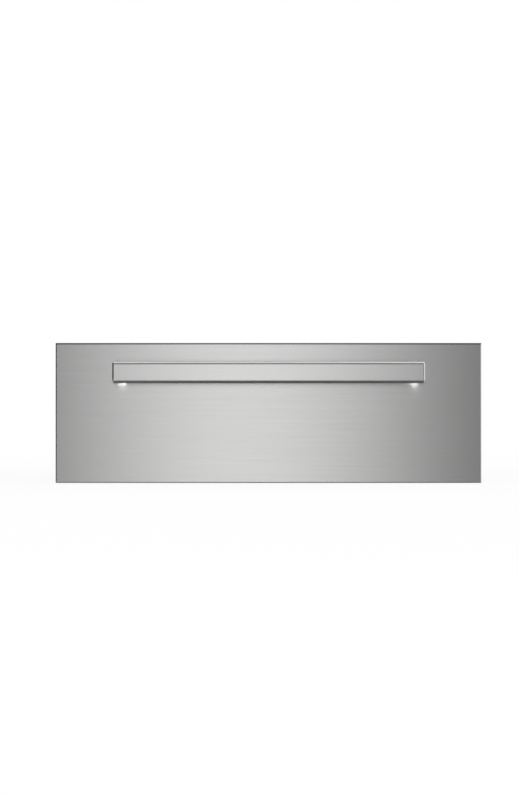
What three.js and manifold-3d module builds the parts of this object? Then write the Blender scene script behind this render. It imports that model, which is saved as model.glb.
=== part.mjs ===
// A built in warming drawer: a folded steel chassis for a cabinet cut-out, a stainless front with a
// bar handle, and a heated drawer on three-member ball bearing slides.
// Millimetres. X runs along the front, Y from the front to the rear, Z up.
// The model is worked out round the cabinet face, which is y = 0, and the drawer opens towards -Y.

import * as THREE from 'three';
import { mergeVertices } from 'three/addons/utils/BufferGeometryUtils.js';
import Module from 'manifold-3d';

const wasm = await Module();
wasm.setup();

// ---------------------------------------------------------------- driving dimensions

const clearance = 0.3; // between pieces that are fastened, laid or slid together

// front panel
const frontWidth = 755.65;
const frontHeight = 248.3;
const frontDepth = 22;
const skinGauge = 1.2;
const skinEdgeRound = 1.6;
const linerGauge = 0.9;
const linerFlange = 11;
const linerFieldDepth = 2.2;
const linerFieldMargin = 46;
const footGap = 1; // from the ground to the lower edge of the front
const topOverlap = 13.3; // of the front past the chassis
const sideOverlap = 18.8;

// handle
const barLength = 548;
const barHeight = 38;
const barDepth = 18;
const barFrontRound = 6;
const barBackRound = 2;
const barEndBevel = 3;
const barDrop = 33.75; // from the top of the front to the top of the bar
const fingerDepth = 36;
const postWidth = 14;
const postHeight = 33;
const postInset = 7.5; // from the end of the bar
const postRound = 3;
const postFootDepth = 3;
const postFootReach = 1.5;
const handleScrew = 5;
const handleScrewHead = 9.5;
const handleScrewHeadDepth = 3;
const handleScrewBite = 15;

// seal between the front and the chassis
const gasketThickness = 3.4;
const gasketWidth = 6;
const gasketRound = 9;

// chassis sheet metal
const sheetGauge = 1;
const sheetLip = 12;
const flangeGauge = 1.5;
const flangeReach = 16;
const flangeLeg = 22;
const flangeScrewHole = 4.5;
const flangeScrewInset = 5; // from the outer edge of the flange
const flangeEndGap = 6; // below the top of the chassis
const baseLip = 14;
const beadHeight = 3;
const beadWidth = 22;
const recessHeight = 36; // clear height of the control recess
const railLip = 12;
const shelfDepth = 30;
const topCoverLip = 8;
const sheetSetBack = 2.5; // front edges of the side panels and top corners, behind the cabinet face
const slotLength = 42;
const slotWidth = 4;
const slotPitch = 11;
const slotCount = 7;

// heat
const baseInsulationThickness = 12;
const ceilingInsulationThickness = 15;
const insulationInset = 20;
const reflectorGauge = 0.8;
const reflectorLip = 6;
const elementDiameter = 7;
const elementStandoff = 8;
const elementBend = 30;
const elementToDrawer = 9.6;
const elementFrontInset = 62;
const elementRearInset = 46;
const elementSideInset = 53; // from the side of the reflector
const elementTail = 25;
const supportWidth = 16;
const supportThickness = 6;
const supportPlace = 150;
const terminalPlateGauge = 1.5;
const terminalPlateFoot = 18;
const terminalPlateHeight = 20;

// slides
const slideLength = 500;
const slideThickness = 12.7;
const slideHeight = 45.7;
const slideInset = 26; // from the cabinet face to the slide
const slideRise = 73; // from the underside of the drawer to the middle of the slide
const rearRoom = 48; // behind the slides
const outerGauge = 1.4;
const middleGauge = 1.2;
const drawerMemberGauge = 1.2;
const cageGauge = 0.6;
const cageLength = 200;
const cageInset = 145; // from the front of the slide, drawer shut
const ballsPerRow = 5;
const outerBall = 3.6;
const innerBall = 3.2;
const outerBallPlace = 6.2; // out from the chassis wall
const innerBallPlace = 7.4;
const racewayDepth = 0.6;
const slideHole = 5;
const slideStopTab = 3.5;

// drawer box
const wallGauge = 0.9;
const wallRim = 7;
const wallFoot = 12;
const floorLip = 18;
const bracketGauge = 2;
const bracketLeg = 18;
const bracketReach = 26;
const bracketHeight = 100;
const drawerTopGap = 4; // under the control rail
const drawerShortfall = 6; // of the drawer box, short of the rear of the slides
const shutterLength = 168;
const shutterHeight = 20;
const shutterGauge = 1;
const shutterTravel = 12;
const shutterDrop = 12;
const ventSlotWidth = 8;
const ventSlotHeight = 9;
const ventSlotCount = 5;
const rivetShank = 4;
const rivetHead = 8;
const tabWidth = 20;
const tabHeight = 4;
const tabReach = 8;

// wire rack
const rackInset = 22;
const rackFrameWire = 6;
const rackCrossWire = 4;
const rackRise = 18;
const rackCorner = 24;
const rackWireCount = 12;
const rackFootInset = 60;
const rackSeam = 1; // lap of the two halves of the frame at each butt weld

// controls
const fasciaSetback = 17;
const fasciaReturn = 10;
const knobPlace = 72;
const knobDiameter = 26;
const knobSkirt = 29;
const knobSkirtDepth = 2.5;
const knobDepth = 14;
const knobFrontBevel = 1.2;
const knobFlutes = 12;
const fluteDiameter = 3;
const fluteDepth = 0.9;
const pointerWidth = 1.6;
const pointerProud = 0.8;
const shaftDiameter = 6;
const shaftReach = 10;
const heatControlDiameter = 29;
const heatControlDepth = 19;
const buttonDiameter = 12;
const buttonProud = 4;
const buttonFlange = 1.5;
const buttonTravel = 1.5;
const buttonStem = 5;
const powerPlace = -76;
const timerPlace = -46;
const lensPlace = -14;
const lensDiameter = 8;
const boardLength = 150;
const boardHeight = 26;
const boardThickness = 1.6;
const boardSetback = 9; // behind the fascia
const boardPillar = 5;
const tactWidth = 6;
const tactHeight = 2.5;
const relayHeight = 15;
const capacitorDiameter = 12;
const capacitorHeight = 14;
const connectorHeight = 9;
const housingWall = 2;
const housingDepth = 34;
const sensorPlace = -150;
const limitPlace = 150;
const ceilingDevicePlace = 70; // from the cabinet face
const sensorDiameter = 6;
const sensorFlange = 14;
const sensorDrop = 9;
const limitDiameter = 18;
const limitHeight = 7;
const bladeGauge = 0.8;
const bladeWidth = 6.3;
const bladeHeight = 8;
const inletInset = 109; // from the side of the chassis to the cord gland
const glandBore = 9;
const glandBody = 19;
const glandCollar = 26;
const glandProud = 14;
const terminalBlockLength = 48;
const terminalBlockDepth = 20;
const terminalBlockHeight = 15;
const terminalWays = 4;
const junctionOpening = 96;
const junctionDepth = 70; // of the opening over the wiring, front to rear
const junctionOverlap = 9;
const junctionScrewHole = 4;

// ---------------------------------------------------------------- places worked out from them

const fit = 2 * clearance;
const frontHalf = frontWidth / 2;
const frontBottom = footGap;
const frontTop = footGap + frontHeight;
const frontBack = -(flangeGauge + gasketThickness + fit);
const frontFace = frontBack - frontDepth;

const chassisHalf = frontHalf - sideOverlap;
const chassisHeight = frontTop - topOverlap;
const insideHalf = chassisHalf - sheetGauge;
const legHalf = insideHalf - clearance; // outer face of the flange legs and of the slides
const railHalf = legHalf - flangeGauge - clearance;
const chassisDepth = slideInset + slideLength + rearRoom + sheetGauge;
const rearInside = chassisDepth - sheetGauge;

const recessTop = chassisHeight - sheetGauge;
const recessFloor = recessTop - recessHeight;
const railGauge = flangeGauge - clearance;
const ceilingTop = recessFloor - railGauge - clearance;
const ceilingBottom = ceilingTop - sheetGauge;
const ceilingFront = flangeLeg + 2;
const railBottom = recessFloor - railLip;
const drawerTop = railBottom - drawerTopGap;

const insulationFloor = sheetGauge + beadHeight + clearance;
const reflectorFloor = insulationFloor + baseInsulationThickness + clearance;
const reflectorTop = reflectorFloor + reflectorGauge;
const elementAxis = reflectorTop + elementStandoff + elementDiameter / 2;
const drawerBottom = elementAxis + elementDiameter / 2 + elementToDrawer;
const bottomRailTop = drawerBottom - drawerTopGap;

const slideAxis = drawerBottom + slideRise;
const slideFront = slideInset;
const slideRear = slideInset + slideLength;
const drawerHalf = legHalf - slideThickness - clearance;
const wallInside = drawerHalf - wallGauge;
const drawerFront = frontBack + clearance;
const drawerRear = slideRear - drawerShortfall;
const frontWallFace = drawerFront + bracketLeg + clearance;
const frontWallInside = frontWallFace + wallGauge;
const backWallInside = drawerRear - wallGauge;
const floorUnderside = drawerBottom + wallGauge + clearance;
const floorTop = floorUnderside + wallGauge;

const barTop = frontTop - barDrop;
const barBottom = barTop - barHeight;
const barMiddle = (barTop + barBottom) / 2;
const barBack = frontFace - fingerDepth;
const barFront = barBack - barDepth;
const postMiddle = barLength / 2 - postInset - postWidth / 2;

const fasciaBack = fasciaSetback + sheetGauge;
const controlAxis = (recessFloor + recessTop) / 2;

// ---------------------------------------------------------------- finishes

const stainless = new THREE.MeshStandardMaterial({ color: 0xc9c9c9, metalness: 1, roughness: 0.32 });
const galvanised = new THREE.MeshStandardMaterial({ color: 0xa9adb0, metalness: 0.9, roughness: 0.5 });
const zincPlate = new THREE.MeshStandardMaterial({ color: 0xb9bcc0, metalness: 1, roughness: 0.3 });
const bearingSteel = new THREE.MeshStandardMaterial({ color: 0xe2e4e6, metalness: 1, roughness: 0.15 });
const wireChrome = new THREE.MeshStandardMaterial({ color: 0xdddfe1, metalness: 1, roughness: 0.12 });
const elementSheath = new THREE.MeshStandardMaterial({ color: 0x55534f, metalness: 0.8, roughness: 0.5 });
const mineralWool = new THREE.MeshStandardMaterial({ color: 0xd8cfa8, metalness: 0, roughness: 1 });
const sealRubber = new THREE.MeshStandardMaterial({ color: 0x2e2e2e, metalness: 0, roughness: 0.8 });
const blackPlastic = new THREE.MeshStandardMaterial({ color: 0x1e1e20, metalness: 0, roughness: 0.5 });
const boardGreen = new THREE.MeshStandardMaterial({ color: 0x2f6b43, metalness: 0, roughness: 0.6 });
const ceramicWhite = new THREE.MeshStandardMaterial({ color: 0xe6e0d4, metalness: 0, roughness: 0.5 });
const lensRed = new THREE.MeshStandardMaterial({ color: 0xc23a22, metalness: 0, roughness: 0.2 });

// ---------------------------------------------------------------- shaping

/** A closed three.js geometry as a solid that can be joined and cut. */
function solidOf(geometry) {
  const bare = geometry.index ? geometry.toNonIndexed() : geometry.clone();
  bare.deleteAttribute('normal');
  bare.deleteAttribute('uv');
  const merged = mergeVertices(bare, 1e-4);
  const vertProperties = merged.attributes.position.array;
  const triVerts = new Uint32Array(merged.index.array);
  return new wasm.Manifold(new wasm.Mesh({ numProp: 3, vertProperties, triVerts }));
}

const joined = (first, ...others) => others.reduce((whole, other) => whole.add(other), first);
const cut = (first, ...others) => others.reduce((whole, other) => whole.subtract(other), first);

/** The two ends of a width about its middle. */
const about = (middle, width) => [middle - width / 2, middle + width / 2];

/** A rectangular solid between two values on each axis. */
function block([x0, x1], [y0, y1], [z0, z1]) {
  const geometry = new THREE.BoxGeometry(x1 - x0, y1 - y0, z1 - z0);
  geometry.translate((x0 + x1) / 2, (y0 + y1) / 2, (z0 + z1) / 2);
  return solidOf(geometry);
}

const outlineOf = (points) => new THREE.Shape(points.map(([u, v]) => new THREE.Vector2(u, v)));

// Turns that bring an outline's own plane and its extrusion to the model's axes.
const turnAlong = {
  x: new THREE.Matrix4().set(0, 0, 1, 0, 1, 0, 0, 0, 0, 1, 0, 0, 0, 0, 0, 1), // outline in Y-Z
  y: new THREE.Matrix4().set(1, 0, 0, 0, 0, 0, -1, 0, 0, 1, 0, 0, 0, 0, 0, 1), // outline in X-Z
  z: new THREE.Matrix4(), // outline in X-Y
};

/** An outline carried straight along one axis, between two values on it. */
function prism(axis, outline, [from, to], curveSegments = 4) {
  const options = { depth: to - from, bevelEnabled: false, curveSegments };
  const geometry = new THREE.ExtrudeGeometry(outline, options);
  geometry.translate(0, 0, axis === 'y' ? -to : from);
  geometry.applyMatrix4(turnAlong[axis]);
  return solidOf(geometry);
}

/** A round bar along one axis. The centre gives the other two coordinates, in order. */
function rod(axis, [a, b], diameter, [from, to], sides = 12) {
  const geometry = new THREE.CylinderGeometry(diameter / 2, diameter / 2, to - from, sides);
  const middle = (from + to) / 2;
  if (axis === 'x') geometry.rotateZ(Math.PI / 2).translate(middle, a, b);
  if (axis === 'y') geometry.translate(a, middle, b);
  if (axis === 'z') geometry.rotateX(Math.PI / 2).translate(a, b, middle);
  return solidOf(geometry);
}

/** A turned piece about a line along Y through (x, z). Each profile point is a radius and a y. */
function turnedAlongY([x, z], profile, sides = 20) {
  const points = profile.map(([radius, y]) => new THREE.Vector2(radius, y));
  return solidOf(new THREE.LatheGeometry(points, sides).translate(x, 0, z));
}

/** A turned piece about an upright line through (x, y). Each profile point is a radius and a z. */
function turnedUpright([x, y], profile, sides = 20) {
  const points = profile.map(([radius, height]) => new THREE.Vector2(radius, height));
  return solidOf(new THREE.LatheGeometry(points, sides).rotateX(Math.PI / 2).translate(x, y, 0));
}

/** Points round part of a circle, both ends included. */
function arc([u, v], radius, fromDegrees, toDegrees, steps) {
  return Array.from({ length: steps + 1 }, (_, i) => {
    const angle = THREE.MathUtils.degToRad(fromDegrees + ((toDegrees - fromDegrees) * i) / steps);
    return [u + radius * Math.cos(angle), v + radius * Math.sin(angle)];
  });
}

/** A rectangle with its corners rounded. */
function roundedRectangle([u0, u1], [v0, v1], radius, steps = 3) {
  return outlineOf([
    ...arc([u1 - radius, v0 + radius], radius, -90, 0, steps),
    ...arc([u1 - radius, v1 - radius], radius, 0, 90, steps),
    ...arc([u0 + radius, v1 - radius], radius, 90, 180, steps),
    ...arc([u0 + radius, v0 + radius], radius, 180, 270, steps),
  ]);
}

/**
 * Outline of a strip of sheet bent along a centreline. Each corner of the centreline is
 * rounded to its own inside radius, the third number of its point, or to the given one.
 */
function bentStrip(centreline, gauge, insideRadius = gauge, steps = 2) {
  const corners = centreline.map(([u, v]) => new THREE.Vector2(u, v));
  const stations = [];
  corners.forEach((corner, i) => {
    const arriving = i > 0 ? corner.clone().sub(corners[i - 1]).normalize() : null;
    const leaving = i < corners.length - 1 ? corners[i + 1].clone().sub(corner).normalize() : null;
    if (!arriving || !leaving) {
      const along = arriving ?? leaving;
      stations.push({ at: corner, side: new THREE.Vector2(-along.y, along.x) });
      return;
    }
    const radius = (centreline[i][2] ?? insideRadius) + gauge / 2;
    const turn = Math.atan2(arriving.cross(leaving), arriving.dot(leaving));
    const hand = Math.sign(turn);
    const setback = radius * Math.tan(Math.abs(turn) / 2);
    const start = corner.clone().addScaledVector(arriving, -setback);
    const side = new THREE.Vector2(-arriving.y, arriving.x);
    const centre = start.clone().addScaledVector(side, hand * radius);
    for (let step = 0; step <= steps; step += 1) {
      const turned = side.clone().rotateAround(new THREE.Vector2(), (turn * step) / steps);
      stations.push({ at: centre.clone().addScaledVector(turned, -hand * radius), side: turned });
    }
  });
  const face = (sign) => stations.map(({ at, side }) => at.clone().addScaledVector(side, (sign * gauge) / 2));
  return new THREE.Shape([...face(1), ...face(-1).reverse()]);
}

/** A path in one level plane through given corners, with a bend of one radius at each. */
class BentPath extends THREE.Curve {
  constructor(corners, radius, height, steps = 4) {
    super();
    const points = corners.map(([x, y]) => new THREE.Vector2(x, y));
    this.stations = [];
    points.forEach((corner, i) => {
      const arriving = i > 0 ? corner.clone().sub(points[i - 1]).normalize() : null;
      const leaving = i < points.length - 1 ? points[i + 1].clone().sub(corner).normalize() : null;
      if (!arriving || !leaving) {
        this.stations.push({ at: corner, along: arriving ?? leaving });
        return;
      }
      const turn = Math.atan2(arriving.cross(leaving), arriving.dot(leaving));
      const start = corner.clone().addScaledVector(arriving, -radius * Math.tan(Math.abs(turn) / 2));
      const inward = new THREE.Vector2(-arriving.y, arriving.x).multiplyScalar(Math.sign(turn));
      const centre = start.clone().addScaledVector(inward, radius);
      for (let step = 0; step <= steps; step += 1) {
        const angle = (turn * step) / steps;
        this.stations.push({
          at: start.clone().rotateAround(centre, angle),
          along: arriving.clone().rotateAround(new THREE.Vector2(), angle),
        });
      }
    });
    this.height = height;
  }

  // Equal steps of the parameter fall on the bend stations, so straight runs stay long and plain.
  getUtoTmapping(share) {
    return share;
  }

  station(share) {
    return this.stations[Math.round(share * (this.stations.length - 1))];
  }

  getPoint(share) {
    const { at } = this.station(share);
    return new THREE.Vector3(at.x, at.y, this.height);
  }

  getTangent(share) {
    const { along } = this.station(share);
    return new THREE.Vector3(along.x, along.y, 0);
  }
}

/** A round wire or tube bent along a path. */
function bentRod(path, diameter, sides = 8) {
  const section = new THREE.Shape().absarc(0, 0, diameter / 2, 0, 2 * Math.PI, false);
  const steps = path.stations.length - 1;
  return solidOf(
    new THREE.ExtrudeGeometry(section, { steps, extrudePath: path, curveSegments: sides / 2 }),
  );
}

const drawer = new THREE.Group();
const chassis = new THREE.Group();

/** Puts a solid into a group as a mesh with its own name and finish. */
function place(group, name, solid, finish) {
  const { vertProperties, triVerts } = solid.getMesh();
  const geometry = new THREE.BufferGeometry();
  geometry.setAttribute('position', new THREE.BufferAttribute(vertProperties, 3));
  geometry.setIndex(new THREE.BufferAttribute(triVerts, 1));
  geometry.computeVertexNormals();
  const mesh = new THREE.Mesh(geometry, finish.clone());
  mesh.name = name;
  group.add(mesh);
}

// The left side is at -X. Ranges and outlines on it are those of the right side, turned over.
const sides = [
  { side: 'left', hand: -1 },
  { side: 'right', hand: 1 },
];
const across = (hand, near, far) => (hand > 0 ? [near, far] : [-far, -near]);
const turnedOver = (hand, points) => points.map(([x, ...rest]) => [hand * x, ...rest]);

// ---------------------------------------------------------------- front panel

/** Folded face: a shallow box, open at the back, with its folded edges rounded. */
function frontSkin() {
  const face = new THREE.Shape([
    new THREE.Vector2(-frontHalf, frontBottom),
    new THREE.Vector2(frontHalf, frontBottom),
    new THREE.Vector2(frontHalf, frontTop),
    new THREE.Vector2(-frontHalf, frontTop),
  ]);
  const geometry = new THREE.ExtrudeGeometry(face, {
    depth: frontDepth,
    bevelThickness: skinEdgeRound,
    bevelSize: skinEdgeRound,
    bevelOffset: -skinEdgeRound,
    bevelSegments: 3,
  });
  geometry.translate(0, 0, -frontBack - skinEdgeRound);
  geometry.applyMatrix4(turnAlong.y);
  const behind = block([-frontWidth, frontWidth], [frontBack, frontDepth], [-frontHeight, 2 * frontHeight]);
  const inside = block(
    [-frontHalf + skinGauge, frontHalf - skinGauge],
    [frontFace + skinGauge, frontDepth],
    [frontBottom + skinGauge, frontTop - skinGauge],
  );
  const through = [frontFace - 1, frontFace + skinGauge + 1];
  const holes = [-1, 1].map((hand) =>
    rod('y', [hand * postMiddle, barMiddle], handleScrew + fit, through, 10),
  );
  return cut(solidOf(geometry), behind, inside, ...holes);
}

const linerHalf = frontHalf - skinGauge - clearance;
const linerBottom = frontBottom + skinGauge + clearance;
const linerTop = frontTop - skinGauge - clearance;
const linerFieldHalf = drawerHalf - linerFieldMargin;
const linerField = [drawerBottom + linerFieldMargin / 2, drawerTop - linerFieldMargin / 2];
const accessHole = handleScrewHead + 4 * clearance;

/** Inner tray of the front, its flange turned forward inside the skin, with a pressed field. */
function frontLiner() {
  const depth = [frontBack - linerFlange, frontBack];
  const tray = block([-linerHalf, linerHalf], depth, [linerBottom, linerTop]);
  const inside = block(
    [-linerHalf + linerGauge, linerHalf - linerGauge],
    [frontFace, frontBack - linerGauge],
    [linerBottom + linerGauge, linerTop - linerGauge],
  );
  const pressed = block(
    [-linerFieldHalf, linerFieldHalf],
    [frontBack - linerGauge - linerFieldDepth, frontBack - linerGauge / 2],
    linerField,
  );
  const hollow = block(
    [-linerFieldHalf + linerGauge, linerFieldHalf - linerGauge],
    [frontBack - linerFieldDepth, frontBack + linerGauge],
    [linerField[0] + linerGauge, linerField[1] - linerGauge],
  );
  const holes = [-1, 1].map((hand) =>
    rod('y', [hand * postMiddle, barMiddle], accessHole, [frontFace, frontBack + 1], 10),
  );
  return cut(tray, inside).add(pressed).subtract(hollow).subtract(joined(...holes));
}

/** Batt that fills the front, with a pocket round each handle screw. */
function frontInsulation() {
  const inset = linerGauge + clearance;
  const batt = block(
    [-linerHalf + inset, linerHalf - inset],
    [frontFace + skinGauge + clearance, frontBack - linerGauge - linerFieldDepth - clearance],
    [linerBottom + inset, linerTop - inset],
  );
  const pockets = [-1, 1].map((hand) =>
    rod('y', [hand * postMiddle, barMiddle], accessHole, [frontFace, frontBack], 10),
  );
  return cut(batt, ...pockets);
}

const gasketInner = legHalf;
const gasketOuter = gasketInner + gasketWidth;
const gasketTop = railBottom + (railLip + gasketWidth) / 2;
const gasketBottom = bottomRailTop - gasketWidth - drawerTopGap;

/** Ring that seals the opening, between the liner and the rails and flanges. */
function doorGasket() {
  const ring = roundedRectangle([-gasketOuter, gasketOuter], [gasketBottom, gasketTop], gasketRound);
  ring.holes.push(
    roundedRectangle(
      [-gasketInner, gasketInner],
      [gasketBottom + gasketWidth, gasketTop - gasketWidth],
      gasketRound - gasketWidth,
    ),
  );
  return prism('y', ring, [frontBack + clearance, frontBack + clearance + gasketThickness]);
}

place(drawer, 'front_skin', frontSkin(), stainless);
place(drawer, 'front_liner', frontLiner(), stainless);
place(drawer, 'front_insulation', frontInsulation(), mineralWool);
place(drawer, 'door_gasket', doorGasket(), sealRubber);

// ---------------------------------------------------------------- handle

/** Bar with rounded long edges and bevelled ends. */
function handleBar() {
  const section = outlineOf([
    ...arc([barFront + barFrontRound, barTop - barFrontRound], barFrontRound, 180, 90, 5),
    ...arc([barBack - barBackRound, barTop - barBackRound], barBackRound, 90, 0, 2),
    ...arc([barBack - barBackRound, barBottom + barBackRound], barBackRound, 0, -90, 2),
    ...arc([barFront + barFrontRound, barBottom + barFrontRound], barFrontRound, 270, 180, 5),
  ]);
  const geometry = new THREE.ExtrudeGeometry(section, {
    depth: barLength - 2 * barEndBevel,
    bevelThickness: barEndBevel,
    bevelSize: barBackRound / 2,
    bevelOffset: -barBackRound / 2,
    bevelSegments: 3,
  });
  geometry.translate(0, 0, barEndBevel - barLength / 2);
  geometry.applyMatrix4(turnAlong.x);
  return solidOf(geometry);
}

/** Stand-off with a foot on the skin and a blind threaded hole from the panel side. */
function handlePost(hand) {
  const x = hand * postMiddle;
  const near = frontFace - clearance;
  const section = (reach) =>
    roundedRectangle(
      about(x, postWidth + 2 * reach),
      about(barMiddle, postHeight + 2 * reach),
      postRound + reach,
    );
  const column = prism('y', section(0), [barBack + clearance, near]);
  const foot = prism('y', section(postFootReach), [near - postFootDepth, near]);
  const bore = rod('y', [x, barMiddle], handleScrew + fit, [near - handleScrewBite, near + 1], 10);
  return column.add(foot).subtract(bore);
}

/** Pan head screw that pulls the post against the skin from inside the front. */
function handlePostScrew(hand) {
  const underHead = frontFace + skinGauge + clearance;
  const tip = frontFace - handleScrewBite + 1;
  const shank = handleScrew / 2;
  const head = handleScrewHead / 2;
  return turnedAlongY(
    [hand * postMiddle, barMiddle],
    [
      [0, tip],
      [shank * 0.8, tip],
      [shank, tip + 1],
      [shank, underHead],
      [head, underHead],
      [head, underHead + handleScrewHeadDepth * 0.6],
      [head * 0.75, underHead + handleScrewHeadDepth],
      [0, underHead + handleScrewHeadDepth],
    ],
    10,
  );
}

place(drawer, 'handle_bar', handleBar(), stainless);
for (const { side, hand } of sides) {
  place(drawer, `${side}_handle_post`, handlePost(hand), stainless);
  place(drawer, `${side}_handle_screw`, handlePostScrew(hand), zincPlate);
}

// ---------------------------------------------------------------- drawer box

/** Side wall: hemmed rim turned in at the top, foot turned in under the floor. */
function drawerSideWall(hand) {
  const wall = drawerHalf - wallGauge / 2;
  const centreline = [
    [wall - wallRim, drawerTop - wallGauge / 2],
    [wall, drawerTop - wallGauge / 2],
    [wall, drawerBottom + wallGauge / 2],
    [wall - wallFoot, drawerBottom + wallGauge / 2],
  ];
  return prism('y', bentStrip(turnedOver(hand, centreline), wallGauge), [drawerFront, drawerRear]);
}

const endWallHalf = wallInside - clearance;
const endWallTop = drawerTop - wallGauge - clearance;

/** End wall between the sides, with its rim turned towards the inside of the drawer. */
function drawerEndWall(face, inward) {
  const middle = face + (inward * wallGauge) / 2;
  const centreline = [
    [middle, floorUnderside],
    [middle, endWallTop - wallGauge / 2],
    [middle + inward * wallRim, endWallTop - wallGauge / 2],
  ];
  return prism('x', bentStrip(centreline, wallGauge), [-endWallHalf, endWallHalf]);
}

const shutterTop = endWallTop - shutterDrop;
const shutterMiddle = shutterTop - shutterHeight / 2;
const ventPitch = 2 * shutterTravel;
const firstVent = (-ventPitch * (ventSlotCount - 1)) / 2;
const ventPlaces = Array.from({ length: ventSlotCount }, (_, i) => firstVent + i * ventPitch);
const rivetPlace = (ventPitch * ventSlotCount) / 2 + rivetShank;

/** A vent slot through a front wall or shutter, between two values of y. */
function ventSlot(x, depth) {
  return block(about(x, ventSlotWidth), depth, about(shutterMiddle, ventSlotHeight));
}

/** Front wall with moisture vents and the two rivets that guide the shutter. */
function drawerFrontWall() {
  const through = [frontWallFace - 1, frontWallInside + 1];
  const vents = ventPlaces.map((x) => ventSlot(x + shutterTravel, through));
  const underHead = frontWallInside + shutterGauge + fit;
  const rivets = [-1, 1].map((hand) =>
    turnedAlongY(
      [hand * rivetPlace, shutterMiddle],
      [
        [0, frontWallInside - wallGauge / 2],
        [rivetShank / 2, frontWallInside - wallGauge / 2],
        [rivetShank / 2, underHead],
        [rivetHead / 2, underHead],
        [rivetHead / 3, underHead + shutterGauge],
        [0, underHead + shutterGauge],
      ],
      12,
    ),
  );
  return joined(cut(drawerEndWall(frontWallFace, 1), ...vents), ...rivets);
}

/** Shutter plate: slots that meet the vents when it is slid along, and a thumb tab. */
function ventShutter() {
  const front = frontWallInside + clearance;
  const rear = front + shutterGauge;
  const plate = block(about(0, shutterLength), [front, rear], about(shutterMiddle, shutterHeight));
  const through = [front - 1, rear + 1];
  const vents = ventPlaces.map((x) => ventSlot(x, through));
  const guides = [-1, 1].map((hand) =>
    block(
      [
        hand * rivetPlace - shutterTravel - rivetShank / 2 - clearance,
        hand * rivetPlace + rivetShank / 2 + clearance,
      ],
      through,
      about(shutterMiddle, rivetShank + fit),
    ),
  );
  const tabTop = shutterMiddle + ventSlotHeight;
  const tab = block(about(0, tabWidth), [front, rear + tabReach], [tabTop - tabHeight, tabTop]);
  return cut(plate, ...vents, ...guides).add(tab);
}

/** Floor pan that drops between the walls and rests on their feet. */
function drawerFloor() {
  const front = frontWallInside + clearance;
  const rear = backWallInside - clearance;
  const half = endWallHalf;
  const top = floorUnderside + floorLip;
  const tray = block([-half, half], [front, rear], [floorUnderside, top]);
  const inside = block(
    [-half + wallGauge, half - wallGauge],
    [front + wallGauge, rear - wallGauge],
    [floorTop, top + 1],
  );
  return cut(tray, inside);
}

/** Angle that fastens the front to a side wall, with two screw holes in each leg. */
function frontBracket(hand) {
  const outer = wallInside - clearance;
  const middle = (drawerTop + drawerBottom) / 2;
  const centreline = [
    [outer - bracketGauge / 2, frontWallFace - clearance],
    [outer - bracketGauge / 2, drawerFront + bracketGauge / 2],
    [outer - bracketReach, drawerFront + bracketGauge / 2],
  ];
  const outline = bentStrip(turnedOver(hand, centreline), bracketGauge, bracketGauge / 2);
  const angle = prism('z', outline, about(middle, bracketHeight));
  const holes = [-1, 1].map((up) =>
    rod(
      'y',
      [hand * (outer - bracketReach / 2), middle + (up * bracketHeight) / 3],
      handleScrew,
      [drawerFront - 1, drawerFront + bracketGauge + 1],
      8,
    ),
  );
  return cut(angle, ...holes);
}

for (const { side, hand } of sides) {
  place(drawer, `drawer_${side}_wall`, drawerSideWall(hand), stainless);
  place(drawer, `${side}_front_bracket`, frontBracket(hand), zincPlate);
}
place(drawer, 'drawer_front_wall', drawerFrontWall(), stainless);
place(drawer, 'drawer_back_wall', drawerEndWall(drawerRear, -1), stainless);
place(drawer, 'drawer_floor', drawerFloor(), stainless);
place(drawer, 'vent_shutter', ventShutter(), stainless);

// ---------------------------------------------------------------- wire rack

const rackHalf = endWallHalf - rackInset;
const rackFront = frontWallInside + rackInset;
const rackRear = backWallInside - rackInset;
const rackAxis = floorTop + rackRise;

/** Serving rack: a bent frame, cross wires laid on it, two bearers under them, four feet. */
function wireRack() {
  const halves = [-1, 1].map((hand) =>
    bentRod(
      new BentPath(
        [
          [-hand * rackSeam, rackFront],
          [hand * rackHalf, rackFront],
          [hand * rackHalf, rackRear],
          [-hand * rackSeam, rackRear],
        ],
        rackCorner,
        rackAxis,
        3,
      ),
      rackFrameWire,
      6,
    ),
  );
  const pitch = (2 * rackHalf) / (rackWireCount + 1);
  const wires = Array.from({ length: rackWireCount }, (_, i) =>
    rod('y', [(i + 1) * pitch - rackHalf, rackAxis], rackCrossWire, [rackFront, rackRear], 6),
  );
  const third = (rackRear - rackFront) / 3;
  const bearers = [1, 2].map((share) =>
    rod(
      'x',
      [rackFront + share * third, rackAxis - rackCrossWire * 0.7],
      rackCrossWire,
      [-rackHalf, rackHalf],
      6,
    ),
  );
  const feet = [-1, 1].flatMap((hand) =>
    [rackFront + rackFootInset, rackRear - rackFootInset].map((y) =>
      rod('z', [hand * rackHalf, y], rackFrameWire * 0.8, [floorTop + clearance, rackAxis], 6),
    ),
  );
  return joined(...halves, ...wires, ...bearers, ...feet);
}

place(drawer, 'wire_rack', wireRack(), wireChrome);

// ---------------------------------------------------------------- ball bearing slides
// Each slide has an outer member on the chassis, a middle member and a drawer member. Two rows of
// balls in a cage run between each pair, in raceways rolled into the members' turned edges.
// Their sections are drawn from the chassis wall outwards, as (distance, height) from the slide's axis.

const outerEdge = slideHeight / 2;
const outerBallHeight = outerEdge - outerGauge - clearance - outerBall / 2;
const outerCurl = outerBall / 2 + clearance;
const middleEdge = outerBallHeight - outerCurl;
const innerBallHeight = middleEdge - middleGauge - clearance - innerBall / 2;
const innerCurl = innerBall / 2 + clearance;
const drawerMemberEdge = innerBallHeight - innerCurl;

const outerCageWeb = outerGauge + clearance + cageGauge / 2;
const middleWeb = outerCageWeb + cageGauge / 2 + clearance + middleGauge / 2;
const innerCageWeb = middleWeb + middleGauge / 2 + clearance + cageGauge / 2;
const drawerMemberWeb = slideThickness - drawerMemberGauge / 2;
const landStart = innerCageWeb + cageGauge / 2 + clearance;

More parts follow.
